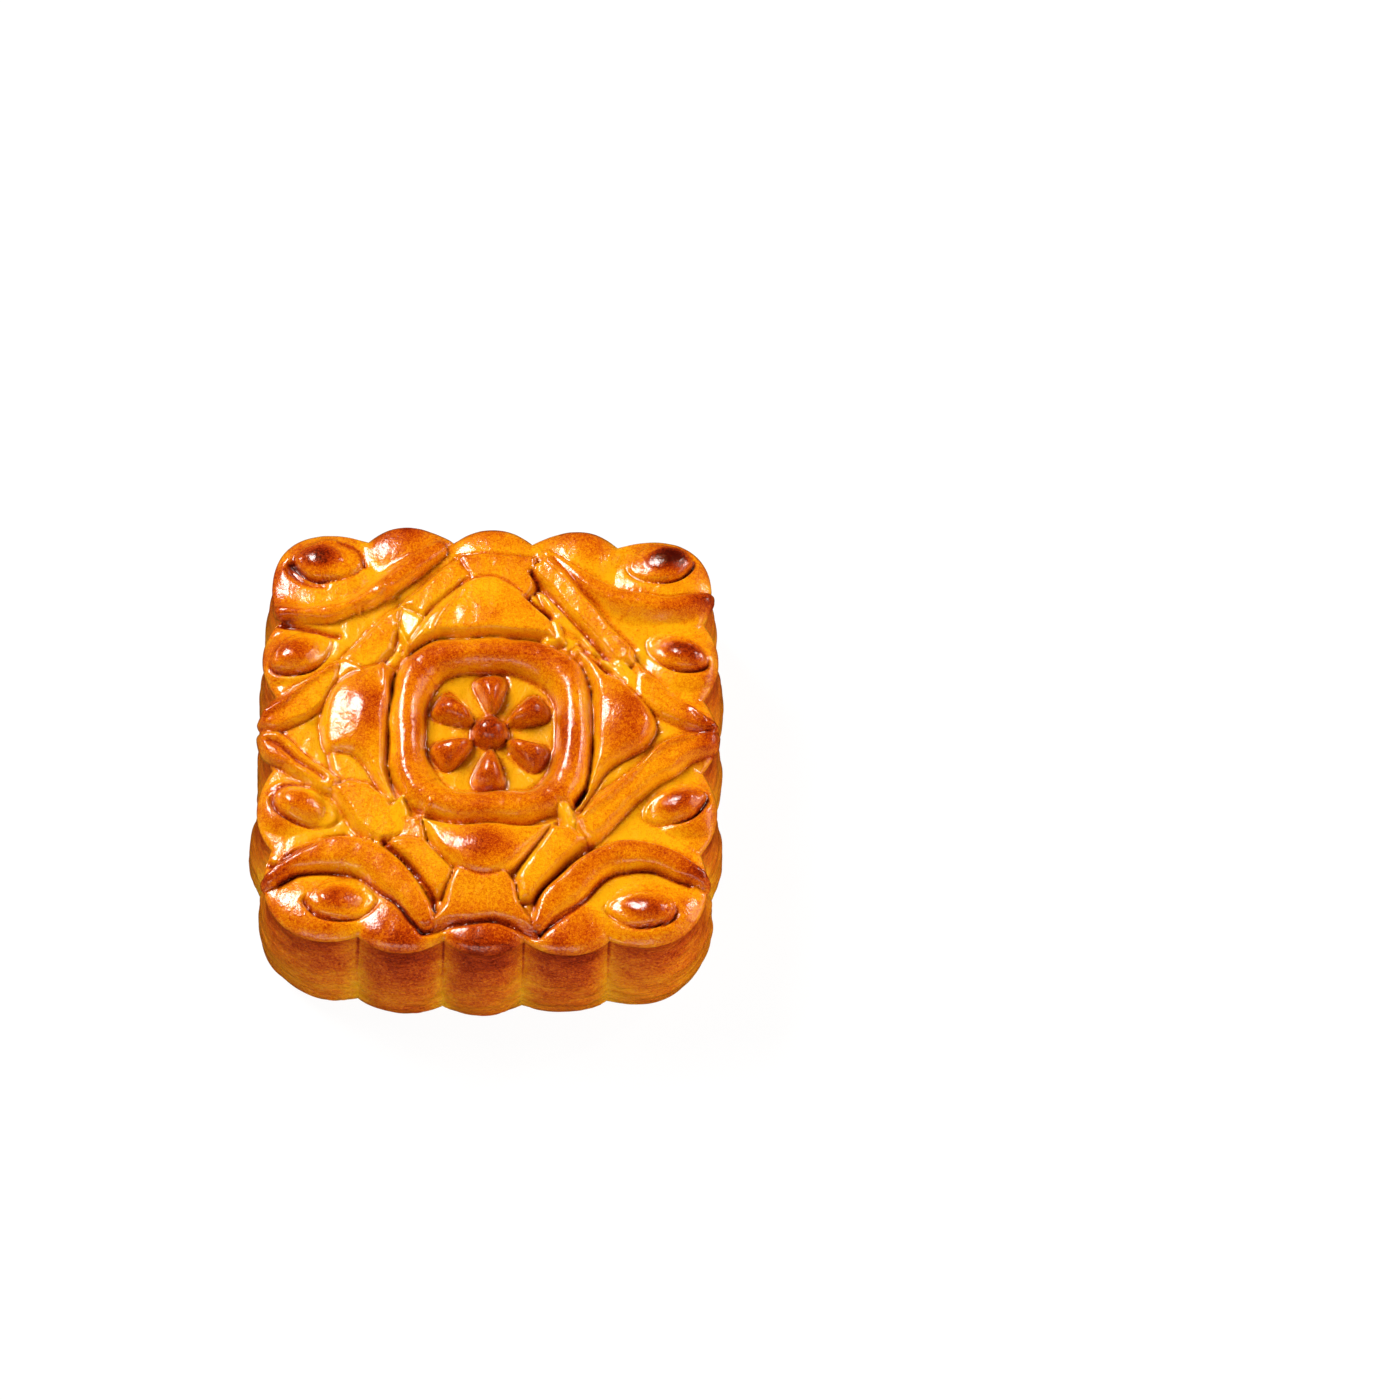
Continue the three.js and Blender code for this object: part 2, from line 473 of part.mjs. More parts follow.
/** The whole crust as one closed surface: moulded top, fluted wall, flat underside. */
function crustGeometry() {
  const positions = [];
  const heights = [];
  const fades = [];
  const indices = [];
  const across = CELLS + 1;
  const columns = 4 * CELLS;
  const unit = (step) => (2 * step) / CELLS - 1;
  const gridIndex = ([i, j]) => j * across + i;

  for (let j = 0; j <= CELLS; j += 1) {
    for (let i = 0; i <= CELLS; i += 1) {
      const [x, y, z] = topPoint(unit(i), unit(j));
      const fromLip = (1 - Math.max(Math.abs(unit(i)), Math.abs(unit(j)))) * HALF_WIDTH;
      positions.push(x, y, z);
      heights.push(patternHeight(x, y));
      fades.push(LIP_RELIEF + (1 - LIP_RELIEF) * smoothstep(fromLip / RELIEF_FADE));
    }
  }
  const cellSize = (2 * HALF_WIDTH) / CELLS;
  const melted = blurred(heights, across, MELT_REACH / cellSize);
  const body = blurred(heights, across, BODY_REACH / cellSize);
  const pattern = melted.map(
    (height, index) => RELIEF * (height - BODY_SHARE * (BODY_LEVEL - body[index])) * fades[index],
  );

  // Each cell is split along the diagonal whose ends are nearer in height.
  for (let j = 0; j < CELLS; j += 1) {
    for (let i = 0; i < CELLS; i += 1) {
      const a = gridIndex([i, j]);
      const b = gridIndex([i + 1, j]);
      const c = gridIndex([i + 1, j + 1]);
      const d = gridIndex([i, j + 1]);
      const alongAC = Math.abs(pattern[a] - pattern[c]);
      const alongBD = Math.abs(pattern[b] - pattern[d]);
      if (alongAC < alongBD) indices.push(a, b, c, a, c, d);
      else indices.push(a, b, d, b, c, d);
    }
  }

  let above = Array.from({ length: columns }, (_, i) => gridIndex(edgePlace(i)));
  for (const { z, inset, crease, swell } of WALL.slice(1)) {
    const slip = (z / LIP.z) ** 2;
    const below = [];
    for (let i = 0; i < columns; i += 1) {
      const [gridI, gridJ] = edgePlace(i);
      const { angle, place } = direction(unit(gridI), unit(gridJ));
      const [x, y] = outlinePoint(angle, inset + crease * creaseDepth(place), swell);
      below.push(positions.length / 3);
      positions.push(x + slip * TOP_SLIP[0], y + slip * TOP_SLIP[1], z);
      pattern.push(0);
    }
    for (let i = 0; i < columns; i += 1) {
      const next = (i + 1) % columns;
      indices.push(below[i], below[next], above[next], below[i], above[next], above[i]);
    }
    above = below;
  }

  const middle = positions.length / 3;
  positions.push(0, 0, 0);
  pattern.push(0);
  for (let i = 0; i < columns; i += 1) indices.push(middle, above[(i + 1) % columns], above[i]);

  const geometry = new THREE.BufferGeometry();
  geometry.setAttribute('position', new THREE.Float32BufferAttribute(positions, 3));
  geometry.setIndex(indices);
  geometry.computeVertexNormals();

  // The pattern stands out along the normals of the unmoulded top.
  const place = geometry.getAttribute('position');
  const normal = geometry.getAttribute('normal');
  for (let i = 0; i < place.count; i += 1) {
    const rise = pattern[i];
    place.setXYZ(
      i,
      place.getX(i) + normal.getX(i) * rise,
      place.getY(i) + normal.getY(i) * rise,
      place.getZ(i) + normal.getZ(i) * rise,
    );
  }
  geometry.computeVertexNormals();
  return geometry;
}

const bakedCrust = new THREE.MeshStandardMaterial({ color: 0xd9761a, roughness: 0.32, metalness: 0 });

const mooncake = new THREE.Mesh(crustGeometry(), bakedCrust);
mooncake.name = 'mooncake';

const cake = new THREE.Group();
cake.add(mooncake);

export default cake;
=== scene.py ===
import math

import bpy
import numpy as np
from mathutils import Euler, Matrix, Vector


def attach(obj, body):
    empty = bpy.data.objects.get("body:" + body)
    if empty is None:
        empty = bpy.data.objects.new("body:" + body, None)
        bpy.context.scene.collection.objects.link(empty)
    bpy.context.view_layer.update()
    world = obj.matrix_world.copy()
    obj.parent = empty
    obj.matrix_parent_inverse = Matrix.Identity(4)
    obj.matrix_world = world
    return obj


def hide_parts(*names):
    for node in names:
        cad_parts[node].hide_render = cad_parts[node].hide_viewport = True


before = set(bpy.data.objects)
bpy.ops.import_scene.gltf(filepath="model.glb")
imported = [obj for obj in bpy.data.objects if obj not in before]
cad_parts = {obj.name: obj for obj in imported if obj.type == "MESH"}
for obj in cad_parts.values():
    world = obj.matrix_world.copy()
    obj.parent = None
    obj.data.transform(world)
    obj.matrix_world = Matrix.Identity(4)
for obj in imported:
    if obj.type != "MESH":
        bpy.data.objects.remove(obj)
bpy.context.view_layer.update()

# ---- The pressed block -----------------------------------------------------------------
# A ball of filled dough is pressed into a carved square mould with fluted walls and knocked out.
# In the oven its walls swell out below the lip, unevenly from flute to flute.
# Everything about the cake is worked out in millimetres and turned to metres in its mesh.
MM = 0.001
HALF_WIDTH = 37.4
FRONT_SQUARENESS = 5.0
BACK_SQUARENESS = 6.8
FLOOR_HEIGHT = 25.9
CROWN = 0.3
SHOULDER_WIDTH = 3.0
FLUTE_CREASES = (1 / 6, 8 / 15)
SIDE_FLUTE_POWER = 2.2
CORNER_FLUTE_POWER = 3.2
# How far the creases of the right, back, left and front sides slipped along their side in baking.
CREASE_SLIP = np.array([0.042, 0.0, -0.016, 0.0])
# The top slipped a little on the foot when the cake was knocked out, and its back lip spread outwards.
TOP_SLIP = (0.25, 0.1)
BACK_SPREAD = 0.75
# The creases between the flutes cut into the top only in its outer quarter.
CREASE_START = 0.75
# The wall from the lip down: height, distance in from the widest bulge, depth of the creases, and
# how much of each flute's own swelling it takes.
WALL = np.array([
    [24.6, 1.5, 2.2, 0.2],
    [23.6, 1.85, 2.4, 0.3],
    [22.0, 2.05, 2.5, 0.4],
    [19.0, 1.6, 2.4, 0.7],
    [15.0, 0.75, 2.1, 0.9],
    [10.5, 0.1, 1.8, 1.0],
    [6.5, 0.0, 1.7, 1.0],
    [3.2, 0.35, 1.6, 1.0],
    [1.2, 1.05, 1.6, 1.0],
    [0.3, 1.9, 1.5, 1.0],
    [0.0, 2.9, 1.5, 1.0],
])
# Angles of the flutes in one quarter, from the middle of a side, and how far each of the sixteen swelled
# past the mean, anticlockwise from the middle of the right side.
FLUTE_ANGLES = np.radians([0.0, 19.3, 45.0, 70.7])
FLUTE_SWELL = np.array([
    -0.1, 0.1, -0.4, 0.0,
    0.1, 0.0, -0.3, -0.9,
    -0.9, 0.0, -1.5, 0.1,
    0.2, -0.7, -1.1, 0.0,
])
CELLS = 240
WALL_ROWS = 42
UNDERSIDE_ROWS = 2


def smoothstep(value):
    """Eases from 0 to 1: three times the square less twice the cube, held inside 0 to 1."""
    value = np.clip(value, 0.0, 1.0)
    return value * value * (3.0 - 2.0 * value)


def direction(u, v):
    """Angle from the middle to a place on the unit square, and its place along its own side from -1 to 1.
    The slip of that side moves the angle, most in the middle of the side and not at all at its corners."""
    quarter = np.round(np.arctan2(v, u) / (math.pi / 2))
    place = np.tan(np.arctan2(v, u) - quarter * math.pi / 2)
    slip = CREASE_SLIP[quarter.astype(int) % 4]
    return quarter * math.pi / 2 + np.arctan(place + slip * (1 - place ** 2)), place


def crease_depth(place):
    """0 on the crest of a flute and 1 in a crease: the distance from the crest, raised to a power that
    keeps crests round and creases sharp. The flute round each corner is longer and flatter."""
    inner, outer = FLUTE_CREASES
    place = np.abs(place)
    middle = (place / inner) ** SIDE_FLUTE_POWER
    side = np.abs((2 * place - inner - outer) / (outer - inner)) ** SIDE_FLUTE_POWER
    corner_half = math.pi / 4 - math.atan(outer)
    corner = (np.abs(math.pi / 4 - np.arctan(place)) / corner_half) ** CORNER_FLUTE_POWER
    return np.where(place < inner, middle, np.where(place < outer, side, corner))


def outline(angle, inset, swell_share):
    """A point of the plan: a superellipse whose power grows from front to back, with the swelling of
    the nearest flutes, moved in along its own normal by the inset."""
    cos, sin = np.cos(angle), np.sin(angle)
    power = (BACK_SQUARENESS + FRONT_SQUARENESS + (BACK_SQUARENESS - FRONT_SQUARENESS) * sin) / 2
    radius = HALF_WIDTH / (np.abs(cos) ** power + np.abs(sin) ** power) ** (1 / power)
    slope_x = np.sign(cos) * np.abs(cos) ** (power - 1)
    slope_y = np.sign(sin) * np.abs(sin) ** (power - 1)
    length = np.hypot(slope_x, slope_y)
    ring = (np.arange(4)[:, None] * math.pi / 2 + FLUTE_ANGLES).ravel()
    inset = inset - swell_share * np.interp(angle % (2 * math.pi), ring, FLUTE_SWELL, period=2 * math.pi)
    return radius * cos - inset * slope_x / length, radius * sin - inset * slope_y / length


def slipped(x, y, angle, share):
    """A point moved by a share of the slip of the top. The back lip spreads by the square of the sine."""
    spread = BACK_SPREAD * np.clip(np.sin(angle), 0, None) ** 2
    return x + share * TOP_SLIP[0], y + share * (TOP_SLIP[1] + spread)


lip_height, lip_inset, lip_crease, lip_swell = WALL[0]
grid_u, grid_v = np.meshgrid(np.linspace(-1, 1, CELLS + 1), np.linspace(-1, 1, CELLS + 1))
reach = np.maximum(np.abs(grid_u), np.abs(grid_v))
top_angle, top_place = direction(grid_u, grid_v)
top_crease = crease_depth(top_place)
top_inset = lip_inset + lip_crease * top_crease * smoothstep((reach - CREASE_START) / (1 - CREASE_START))
edge_x, edge_y = outline(top_angle, top_inset, lip_swell)
plan_x, plan_y = reach * slipped(edge_x, edge_y, top_angle, 1.0)
from_lip = (1 - reach) * HALF_WIDTH
shoulder = np.clip(1 - from_lip / SHOULDER_WIDTH, 0, 1)
shoulder_drop = FLOOR_HEIGHT - CROWN - lip_height
plain_top = FLOOR_HEIGHT - CROWN * reach ** 3 - shoulder_drop * (1 - np.sqrt(1 - shoulder ** 2))

# ---- The diamond frame -----------------------------------------------------------------
# Four flat strips of the same dough, in leaf-shaped pillows with folded knots at the joints, stand in a
# shallow bed. The carving fills less here than elsewhere, so they stay low and amber.
# Dough creeps back out of the carving, so no edge comes out quite true.
DRIFT = 0.16
DRIFT_WAVE = 7.0
# Twelve waves in random directions seldom add up to more than four times one of them.
RIPPLE_WAVES = 12
RIPPLE_PEAK = 4.0


def ripple(wavelength, seed):
    """A smooth uneven field between about -1 and 1: sine waves of 0.7 to 1.3 times the wavelength that
    run in random directions, added up."""
    random = np.random.default_rng(seed)
    total = np.zeros_like(plan_x)
    for turn, phase, stretch in random.uniform(0, 1, (RIPPLE_WAVES, 3)):
        wave = 2 * math.pi / (wavelength * (0.7 + 0.6 * stretch))
        along = plan_x * math.cos(2 * math.pi * turn) + plan_y * math.sin(2 * math.pi * turn)
        total += np.sin(wave * along + 2 * math.pi * phase)
    return total / RIPPLE_PEAK


pattern_x = plan_x + DRIFT * ripple(DRIFT_WAVE, 1)
pattern_y = plan_y + DRIFT * ripple(DRIFT_WAVE, 2)
CREASE_REACH = 0.45
# How dark the crease where two forms meet is made: partly wash burnt in it, partly painted shade.
CREASE_BURN_AND_SHADE = 0.6
# The gaps between which the browning of a form takes over from that of what it lies on.
TAKE_OVER = (-0.36, 0.54)
FLOOR_BROWNING = 0.26
FLOOR_UNEVENNESS = 0.08
FLOOR_WAVE = 9.0
pattern = {
    "height": FLOOR_UNEVENNESS * ripple(FLOOR_WAVE, 3),
    "browning": np.full_like(plan_x, FLOOR_BROWNING),
}


def lay(form, browning, crease=0.26, melt=0.0):
    """Lays a form on the pattern. The higher surface wins, its browning takes over as it comes to stand
    proud, and a crease is pressed in where the two meet: a bell curve of their difference, darkened partly
    as wash burnt in it and partly as painted shade. Melting rounds that corner instead: half the sum of
    both and of the hypotenuse of their gap and the melt."""
    gap = form - pattern["height"]
    share = smoothstep((gap - TAKE_OVER[0]) / (TAKE_OVER[1] - TAKE_OVER[0]))
    dip = crease * np.exp(-(gap / CREASE_REACH) ** 2)
    # The crease darkens the browning: partly burnt wash, partly painted shade.
    pattern["browning"] += share * (browning - pattern["browning"]) + CREASE_BURN_AND_SHADE * dip
    pattern["height"] = (form + pattern["height"] + np.hypot(gap, melt)) / 2 - dip


def nearest_on(path, closed=False):
    """For every place the distance to a path, positive on its left, and the path's further columns at
    the nearest point: each stretch's nearest point is a projection held between its ends."""
    path = np.asarray(path, dtype=float)
    best = np.full(plan_x.shape, np.inf)
    side = np.ones(plan_x.shape)
    extra = np.zeros(plan_x.shape + (path.shape[1] - 2,))
    ends = np.roll(path, -1, axis=0) if closed else path[1:]
    for start, end in zip(path, ends):
        run_x, run_y = end[:2] - start[:2]
        dx, dy = pattern_x - start[0], pattern_y - start[1]
        share = np.clip((dx * run_x + dy * run_y) / (run_x ** 2 + run_y ** 2), 0, 1)
        distance = np.hypot(dx - share * run_x, dy - share * run_y)
        closer = distance < best
        best = np.where(closer, distance, best)
        side = np.where(closer, np.sign(run_x * dy - run_y * dx + 1e-9), side)
        extra = np.where(closer[..., None], start[2:] + share[..., None] * (end[2:] - start[2:]), extra)
    return best * side, extra


def inside_of(corners):
    """Distance in from a closed outline, negative outside it. A place is inside where an odd number of
    the outline's edges passes to its right."""
    corners = list(corners)
    distance = np.abs(nearest_on(corners, closed=True)[0])
    odd = np.zeros(plan_x.shape, dtype=bool)
    for (x0, y0), (x1, y1) in zip(corners, corners[1:] + corners[:1]):
        if y0 != y1:
            crosses = (y0 > pattern_y) != (y1 > pattern_y)
            odd ^= crosses & (pattern_x < x0 + (pattern_y - y0) * (x1 - x0) / (y1 - y0))
    return np.where(odd, distance, -distance)


# How far the dough spreads past the outline of a form, and the least height of a tilted one.
FILL = 0.75
PAD_LEAST = 0.2


def pad(corners, rise, edge, lean):
    """A cushion on a closed outline: its rise, tilted by the lean in mm a mm from the outline's middle,
    times one less the square of how far into the edge a place lies."""
    inside = inside_of(corners) + FILL
    middle = np.mean(corners, axis=0)
    top = rise + lean[0] * (pattern_x - middle[0]) + lean[1] * (pattern_y - middle[1])
    return np.clip(top, PAD_LEAST, None) * (1 - np.clip(1 - inside / edge, 0, None) ** 2)


# The frame's diamond reaches this far to the sides and to the front and back. The bed is a band of it,
# in shares of that reach.
FRAME_REACH = (36.0, 30.0)
FRAME_MIDDLE = 1.5
BED_PLACE = 0.87
BED_HALF_WIDTH = 0.07
BED_SLOPE = 0.1
BED_RISE = 0.6
BED_BROWNING = 0.3
STRIP_EDGE = 1.5
STRIP_RISE = 1.3
# Outline, share of the rise, lean to the right and to the back, browning.
STRIPS = (
    (((-24.7, -2.4), (-21.6, -3.3), (-19.4, -5.2), (-16.7, -8.9), (-15.1, -10.8), (-17.9, -10.9),
      (-21.9, -9.3), (-23.9, -6.7)), 0.9, 0, 0, 0.26),
    (((-13.8, 22.3), (-10.0, 26.1), (-4.9, 31.1), (-2.9, 27.2), (-6.8, 24.2), (-10.4, 20.3)),
     1.25, 0, 0, 0.26),
    (((-13.9, 21.9), (-16.2, 20.6), (-18.7, 17.9), (-22.8, 12.8), (-19.2, 10.2), (-17.2, 11.8),
      (-15.2, 14.6), (-14.2, 18.4)), 1.2, -0.06, 0.05, 0.22),
    (((-23.0, 12.6), (-26.5, 9.9), (-30.1, 7.5), (-33.4, 5.0), (-36.0, 1.7), (-32.5, 0.5), (-28.4, 2.5),
      (-25.4, 5.0), (-23.8, 8.6)), 1.35, -0.05, 0.05, 0.28),
    (((-36.0, 0.2), (-32.5, -0.2), (-30.0, -2.4), (-27.1, -5.2), (-22.8, -8.0), (-23.6, -10.0),
      (-27.5, -8.2), (-31.0, -5.6), (-35.5, -2.8)), 1.3, 0.04, 0.06, 0.22),
    (((-23.6, -9.4), (-21.5, -8.5), (-18.3, -8.9), (-15.3, -11.2), (-14.4, -13.8), (-13.6, -17.0),
      (-15.7, -18.4), (-18.1, -17.3), (-20.0, -15.4), (-21.9, -12.5)), 1.5, 0, 0.06, 0.22),
    (((-13.1, -17.8), (-9.6, -18.0), (-7.0, -20.5), (-4.8, -23.3), (-5.3, -24.9), (-7.3, -26.8),
      (-9.5, -24.6), (-11.9, -21.4), (-15.2, -18.9)), 1.5, 0, 0.05, 0.3),
    (((7.4, 25.6), (10.8, 23.0), (14.2, 19.2), (17.8, 14.4), (15.8, 14.5), (14.2, 17.4), (9.5, 20.2)),
     0.75, 0, 0, 0.22),
    (((7.2, 29.9), (8.8, 30.4), (13.2, 25.2), (17.4, 20.4), (22.2, 15.0), (22.7, 13.2), (20.2, 12.9),
      (15.5, 18.6), (11.2, 23.6), (7.0, 28.0)), 1.3, 0.07, 0.06, 0.22),
    (((23.2, 13.2), (25.2, 11.0), (27.4, 8.6), (30.5, 6.0), (35.9, 2.8), (35.5, 1.5), (30.0, 2.9),
      (26.9, 4.4), (23.2, 6.9)), 1.35, 0.03, 0, 0.3),
    (((35.9, 1.4), (30.1, 0.6), (26.4, -1.8), (24.2, -4.7), (21.2, -7.0), (17.6, -9.8), (15.2, -13.1),
      (14.3, -15.9), (16.1, -17.4), (18.9, -15.0), (22.9, -10.2), (26.8, -6.5), (30.5, -3.8),
      (35.7, -0.7)), 1.4, 0, 0.03, 0.26),
    (((10.3, -15.3), (13.5, -15.9), (15.3, -17.5), (13.3, -20.1), (10.7, -22.5), (8.6, -25.1),
      (7.3, -27.1), (6.0, -27.3), (5.3, -24.0), (6.2, -22.3), (8.5, -19.1)), 1.5, 0, 0.04, 0.24),
)
# The knots: small folded facets that tilt one way or the other.
KNOT_EDGE = 1.1
KNOT_RISE = 0.85
KNOTS = (
    (((-13.9, 21.7), (-10.6, 19.8), (-11.4, 17.0), (-13.2, 15.0), (-14.0, 18.4)), 1.5, 0.22, 0, 0.1),
    (((-22.9, 12.5), (-19.0, 9.9), (-21.0, 6.6), (-24.7, 5.4)), 1.9, 0.24, 0.1, 0.3),
    (((-12.9, -10.9), (-15.0, -13.6), (-14.1, -17.5), (-12.6, -17.0), (-11.8, -13.6)),
     2.0, -0.2, 0.05, 0.16),
    (((-13.2, -14.3), (-10.1, -14.6), (-9.4, -18.1), (-12.8, -18.3)), 2.0, 0.1, 0.05, 0.36),
    (((8.4, 19.6), (10.2, 20.1), (11.6, 16.6), (8.8, 15.8)), 1.8, 0.12, 0, 0.12),
    (((17.9, 13.3), (21.0, 13.0), (23.4, 10.6), (21.2, 9.6)), 1.7, 0.08, 0.06, 0.14),
    (((21.4, 10.4), (23.4, 10.9), (23.5, 6.8), (21.9, 7.6)), 1.8, -0.12, 0, 0.14),
    (((11.0, -11.2), (12.8, -11.4), (14.4, -15.8), (15.5, -17.4), (13.0, -16.6)), 2.1, -0.25, 0, 0.1),
)
frame_reach = np.abs(pattern_x) / FRAME_REACH[0] + np.abs(pattern_y - FRAME_MIDDLE) / FRAME_REACH[1]
bed = 1 - smoothstep((np.abs(frame_reach - BED_PLACE) - BED_HALF_WIDTH) / BED_SLOPE)
lay(BED_RISE * bed, BED_BROWNING, crease=0.0, melt=0.2)
for corners, share, lean_x, lean_y, browning in STRIPS:
    lay(pad(corners, STRIP_RISE * share, STRIP_EDGE, (lean_x, lean_y)), browning, crease=0.24, melt=0.1)
for corners, share, lean_x, lean_y, browning in KNOTS:
    lay(pad(corners, KNOT_RISE * share, KNOT_EDGE, (lean_x, lean_y)), browning, crease=0.08, melt=0.2)

# ---- The rosette -----------------------------------------------------------------------
# The middle of the mould: a flower of six petals round a boss, inside a thick rounded square ring.
# The dough fills it fully and stands highest, so its crests brown first and its hollows stay amber.
ROSETTE_CENTRE = (0.5, 0.9)
FIELD_HALF = 16.0
FIELD_SQUARENESS = 3.4
RING_MIDDLE = 13.1
RING_HALF_WIDTH = 3.1
RING_RISE = 2.7
RING_WAVER = 0.3
RING_WAVE = 11.0
RING_BROWNING = 0.4
RING_BLOTCH = 0.12
RING_BLOTCH_SIZE = 14.0
PETALS = 6
PETAL_START = 2.6
PETAL_END = 10.2
PETAL_HALF_WIDTH = 2.9
PETAL_TAPER = 0.5
PETAL_RISE = 2.6
PETAL_BROWNING = 0.48
PETAL_TIP_BROWNING = 0.1
BOSS_RADIUS = 3.0
BOSS_RISE = 2.8
BOSS_BROWNING = 0.6
# Exponent of the round-topped sections: 2 would be a parabola.
ROUND_TOP = 2.6


def along_across(centre, angle):
    """Plan coordinates measured from a centre, along a direction and across it."""
    dx, dy = pattern_x - centre[0], pattern_y - centre[1]
    return dx * math.cos(angle) + dy * math.sin(angle), dy * math.cos(angle) - dx * math.sin(angle)


field_dx = np.abs(pattern_x - ROSETTE_CENTRE[0]) / FIELD_HALF
field_dy = np.abs(pattern_y - ROSETTE_CENTRE[1]) / FIELD_HALF
field_reach = (field_dx ** FIELD_SQUARENESS + field_dy ** FIELD_SQUARENESS) ** (1 / FIELD_SQUARENESS)
ring_half_width = RING_HALF_WIDTH + RING_WAVER * ripple(RING_WAVE, 6)
from_ring = np.abs(field_reach * FIELD_HALF - RING_MIDDLE) / ring_half_width
ring_browning = RING_BROWNING + RING_BLOTCH * ripple(RING_BLOTCH_SIZE, 7)
lay(RING_RISE * (1 - from_ring ** ROUND_TOP), ring_browning)
for number in range(PETALS):
    half_length = (PETAL_END - PETAL_START) / 2
    along, across = along_across(ROSETTE_CENTRE, (number + 0.5) * 2 * math.pi / PETALS)
    place = (along - PETAL_START) / half_length - 1
    half_width = PETAL_HALF_WIDTH * (1 + PETAL_TAPER * np.clip(place, -1.2, 1) - PETAL_TAPER / 2)
    fill = np.abs(place) ** ROUND_TOP + np.abs(across / half_width) ** ROUND_TOP
    lay(PETAL_RISE * (1 - fill), PETAL_BROWNING + PETAL_TIP_BROWNING * np.clip(place, -1, 1))
boss_reach = np.hypot(pattern_x - ROSETTE_CENTRE[0], pattern_y - ROSETTE_CENTRE[1]) / BOSS_RADIUS
lay(BOSS_RISE * (1 - boss_reach ** ROUND_TOP), BOSS_BROWNING)

# ---- The four lobes --------------------------------------------------------------------
# Broad pointed cushions between the rosette and the frame. Their crests brown to a deep red orange
# and their edges stay amber.
LOBE_EDGE = 2.2
LOBE_ROUNDNESS = 2.2
LOBE_EDGE_BROWNING = 0.2
# A lobe comes up from the ring this much more steeply than from the frame.
RING_STEEPNESS = 1.6
# Outer edge and rise, then the crest's centre and radii, its own rise and its browning.
LOBES = (
    (((-13.5, 11.5), (-12.9, 15.5), (-10.9, 19.0), (-8.6, 22.0), (-5.6, 25.0), (-2.6, 27.1), (0.3, 27.7),
      (2.6, 26.9), (4.8, 25.0), (7.1, 22.6), (9.6, 19.6), (11.5, 15.0)),
     2.1, (0.2, 20.0, 6.0, 4.0), 0.5, 0.34),
    (((-14.5, -12.4), (-16.5, -9.3), (-18.3, -6.0), (-20.9, -3.2), (-24.0, -3.3), (-25.3, -1.8),
      (-25.7, 1.2), (-25.4, 3.7), (-24.4, 7.0), (-22.0, 10.3), (-19.2, 11.0), (-16.5, 11.8)),
     1.9, (-18.8, 3.4, 4.4, 6.2), 1.3, 0.64),
    (((11.4, -13.0), (10.3, -15.2), (9.1, -17.2), (7.0, -19.8), (4.7, -22.2), (2.6, -23.8), (0.4, -24.3),
      (-1.6, -23.9), (-4.0, -22.8), (-6.9, -20.1), (-8.5, -17.8), (-9.9, -15.2), (-10.4, -13.0)),
     2.2, (-0.4, -19.6, 5.4, 3.4), 0.9, 0.7),
    (((14.0, 15.8), (16.8, 13.6), (18.7, 11.0), (21.4, 9.2), (23.8, 6.2), (25.6, 3.7), (25.8, 1.5),
      (24.6, -1.0), (22.0, -2.4), (18.9, -5.0), (16.6, -8.8), (14.4, -12.4)),
     1.9, (21.6, 3.4, 5.4, 6.6), 1.1, 0.56),
)


def hill(centre_x, centre_y, radius_x, radius_y):
    """A soft hill of height 1: the exponential of minus the square of the distance in radii."""
    return np.exp(-((pattern_x - centre_x) / radius_x) ** 2 - ((pattern_y - centre_y) / radius_y) ** 2)


def smooth_path(corners, steps):
    """A Catmull-Rom curve through the corners: each stretch is the cubic that leaves a corner in the
    direction from the one before it to the one after it."""
    corners = np.asarray(corners, dtype=float)
    padded = np.vstack([2 * corners[0] - corners[1], corners, 2 * corners[-1] - corners[-2]])
    stretch = np.linspace(0, len(corners) - 1, steps)
    index = np.minimum(stretch.astype(int), len(corners) - 2)
    t = (stretch - index)[:, None]
    before, start, end, after = (padded[index + i] for i in range(4))
    return 0.5 * (2 * start + (end - before) * t + (2 * before - 5 * start + 4 * end - after) * t ** 2
                  + (3 * start - before - 3 * end + after) * t ** 3)


field_edge = (field_reach - 1) * FIELD_HALF
for outer, rise, crest, crest_rise, browning in LOBES:
    corners = [tuple(place) for place in smooth_path(outer, 30)]
    inside = np.minimum(inside_of(corners + [ROSETTE_CENTRE]) + FILL, field_edge * RING_STEEPNESS)
    swell = hill(*crest)
    edge = np.clip(1 - inside / LOBE_EDGE, 0, None)
    lay(rise * (1 - edge ** LOBE_ROUNDNESS) + crest_rise * swell,
        LOBE_EDGE_BROWNING + (browning - LOBE_EDGE_BROWNING) * swell)

# ---- The domes and the panels ----------------------------------------------------------
# Plain domes of dough swell up behind the flutes of the front and the back, and low pillows behind those
# of the corners and both sides. A flat panel between two domes points at the frame, front and back.
DOME_ROUNDNESS = 2.4
DOME_EDGE_BROWNING = 0.15
# Centre, radius, rise, browning.
DOMES = (
    ((-14.2, 33.4), 5.8, 1.3, 0.5),
    ((0.6, 33.8), 6.0, 0.8, 0.3),
    ((14.6, 33.0), 5.8, 1.2, 0.3),
    ((-13.6, -31.8), 6.0, 0.9, 0.6),
    ((0.5, -33.6), 6.4, 0.9, 0.68),
    ((13.8, -32.0), 6.0, 0.9, 0.5),
)
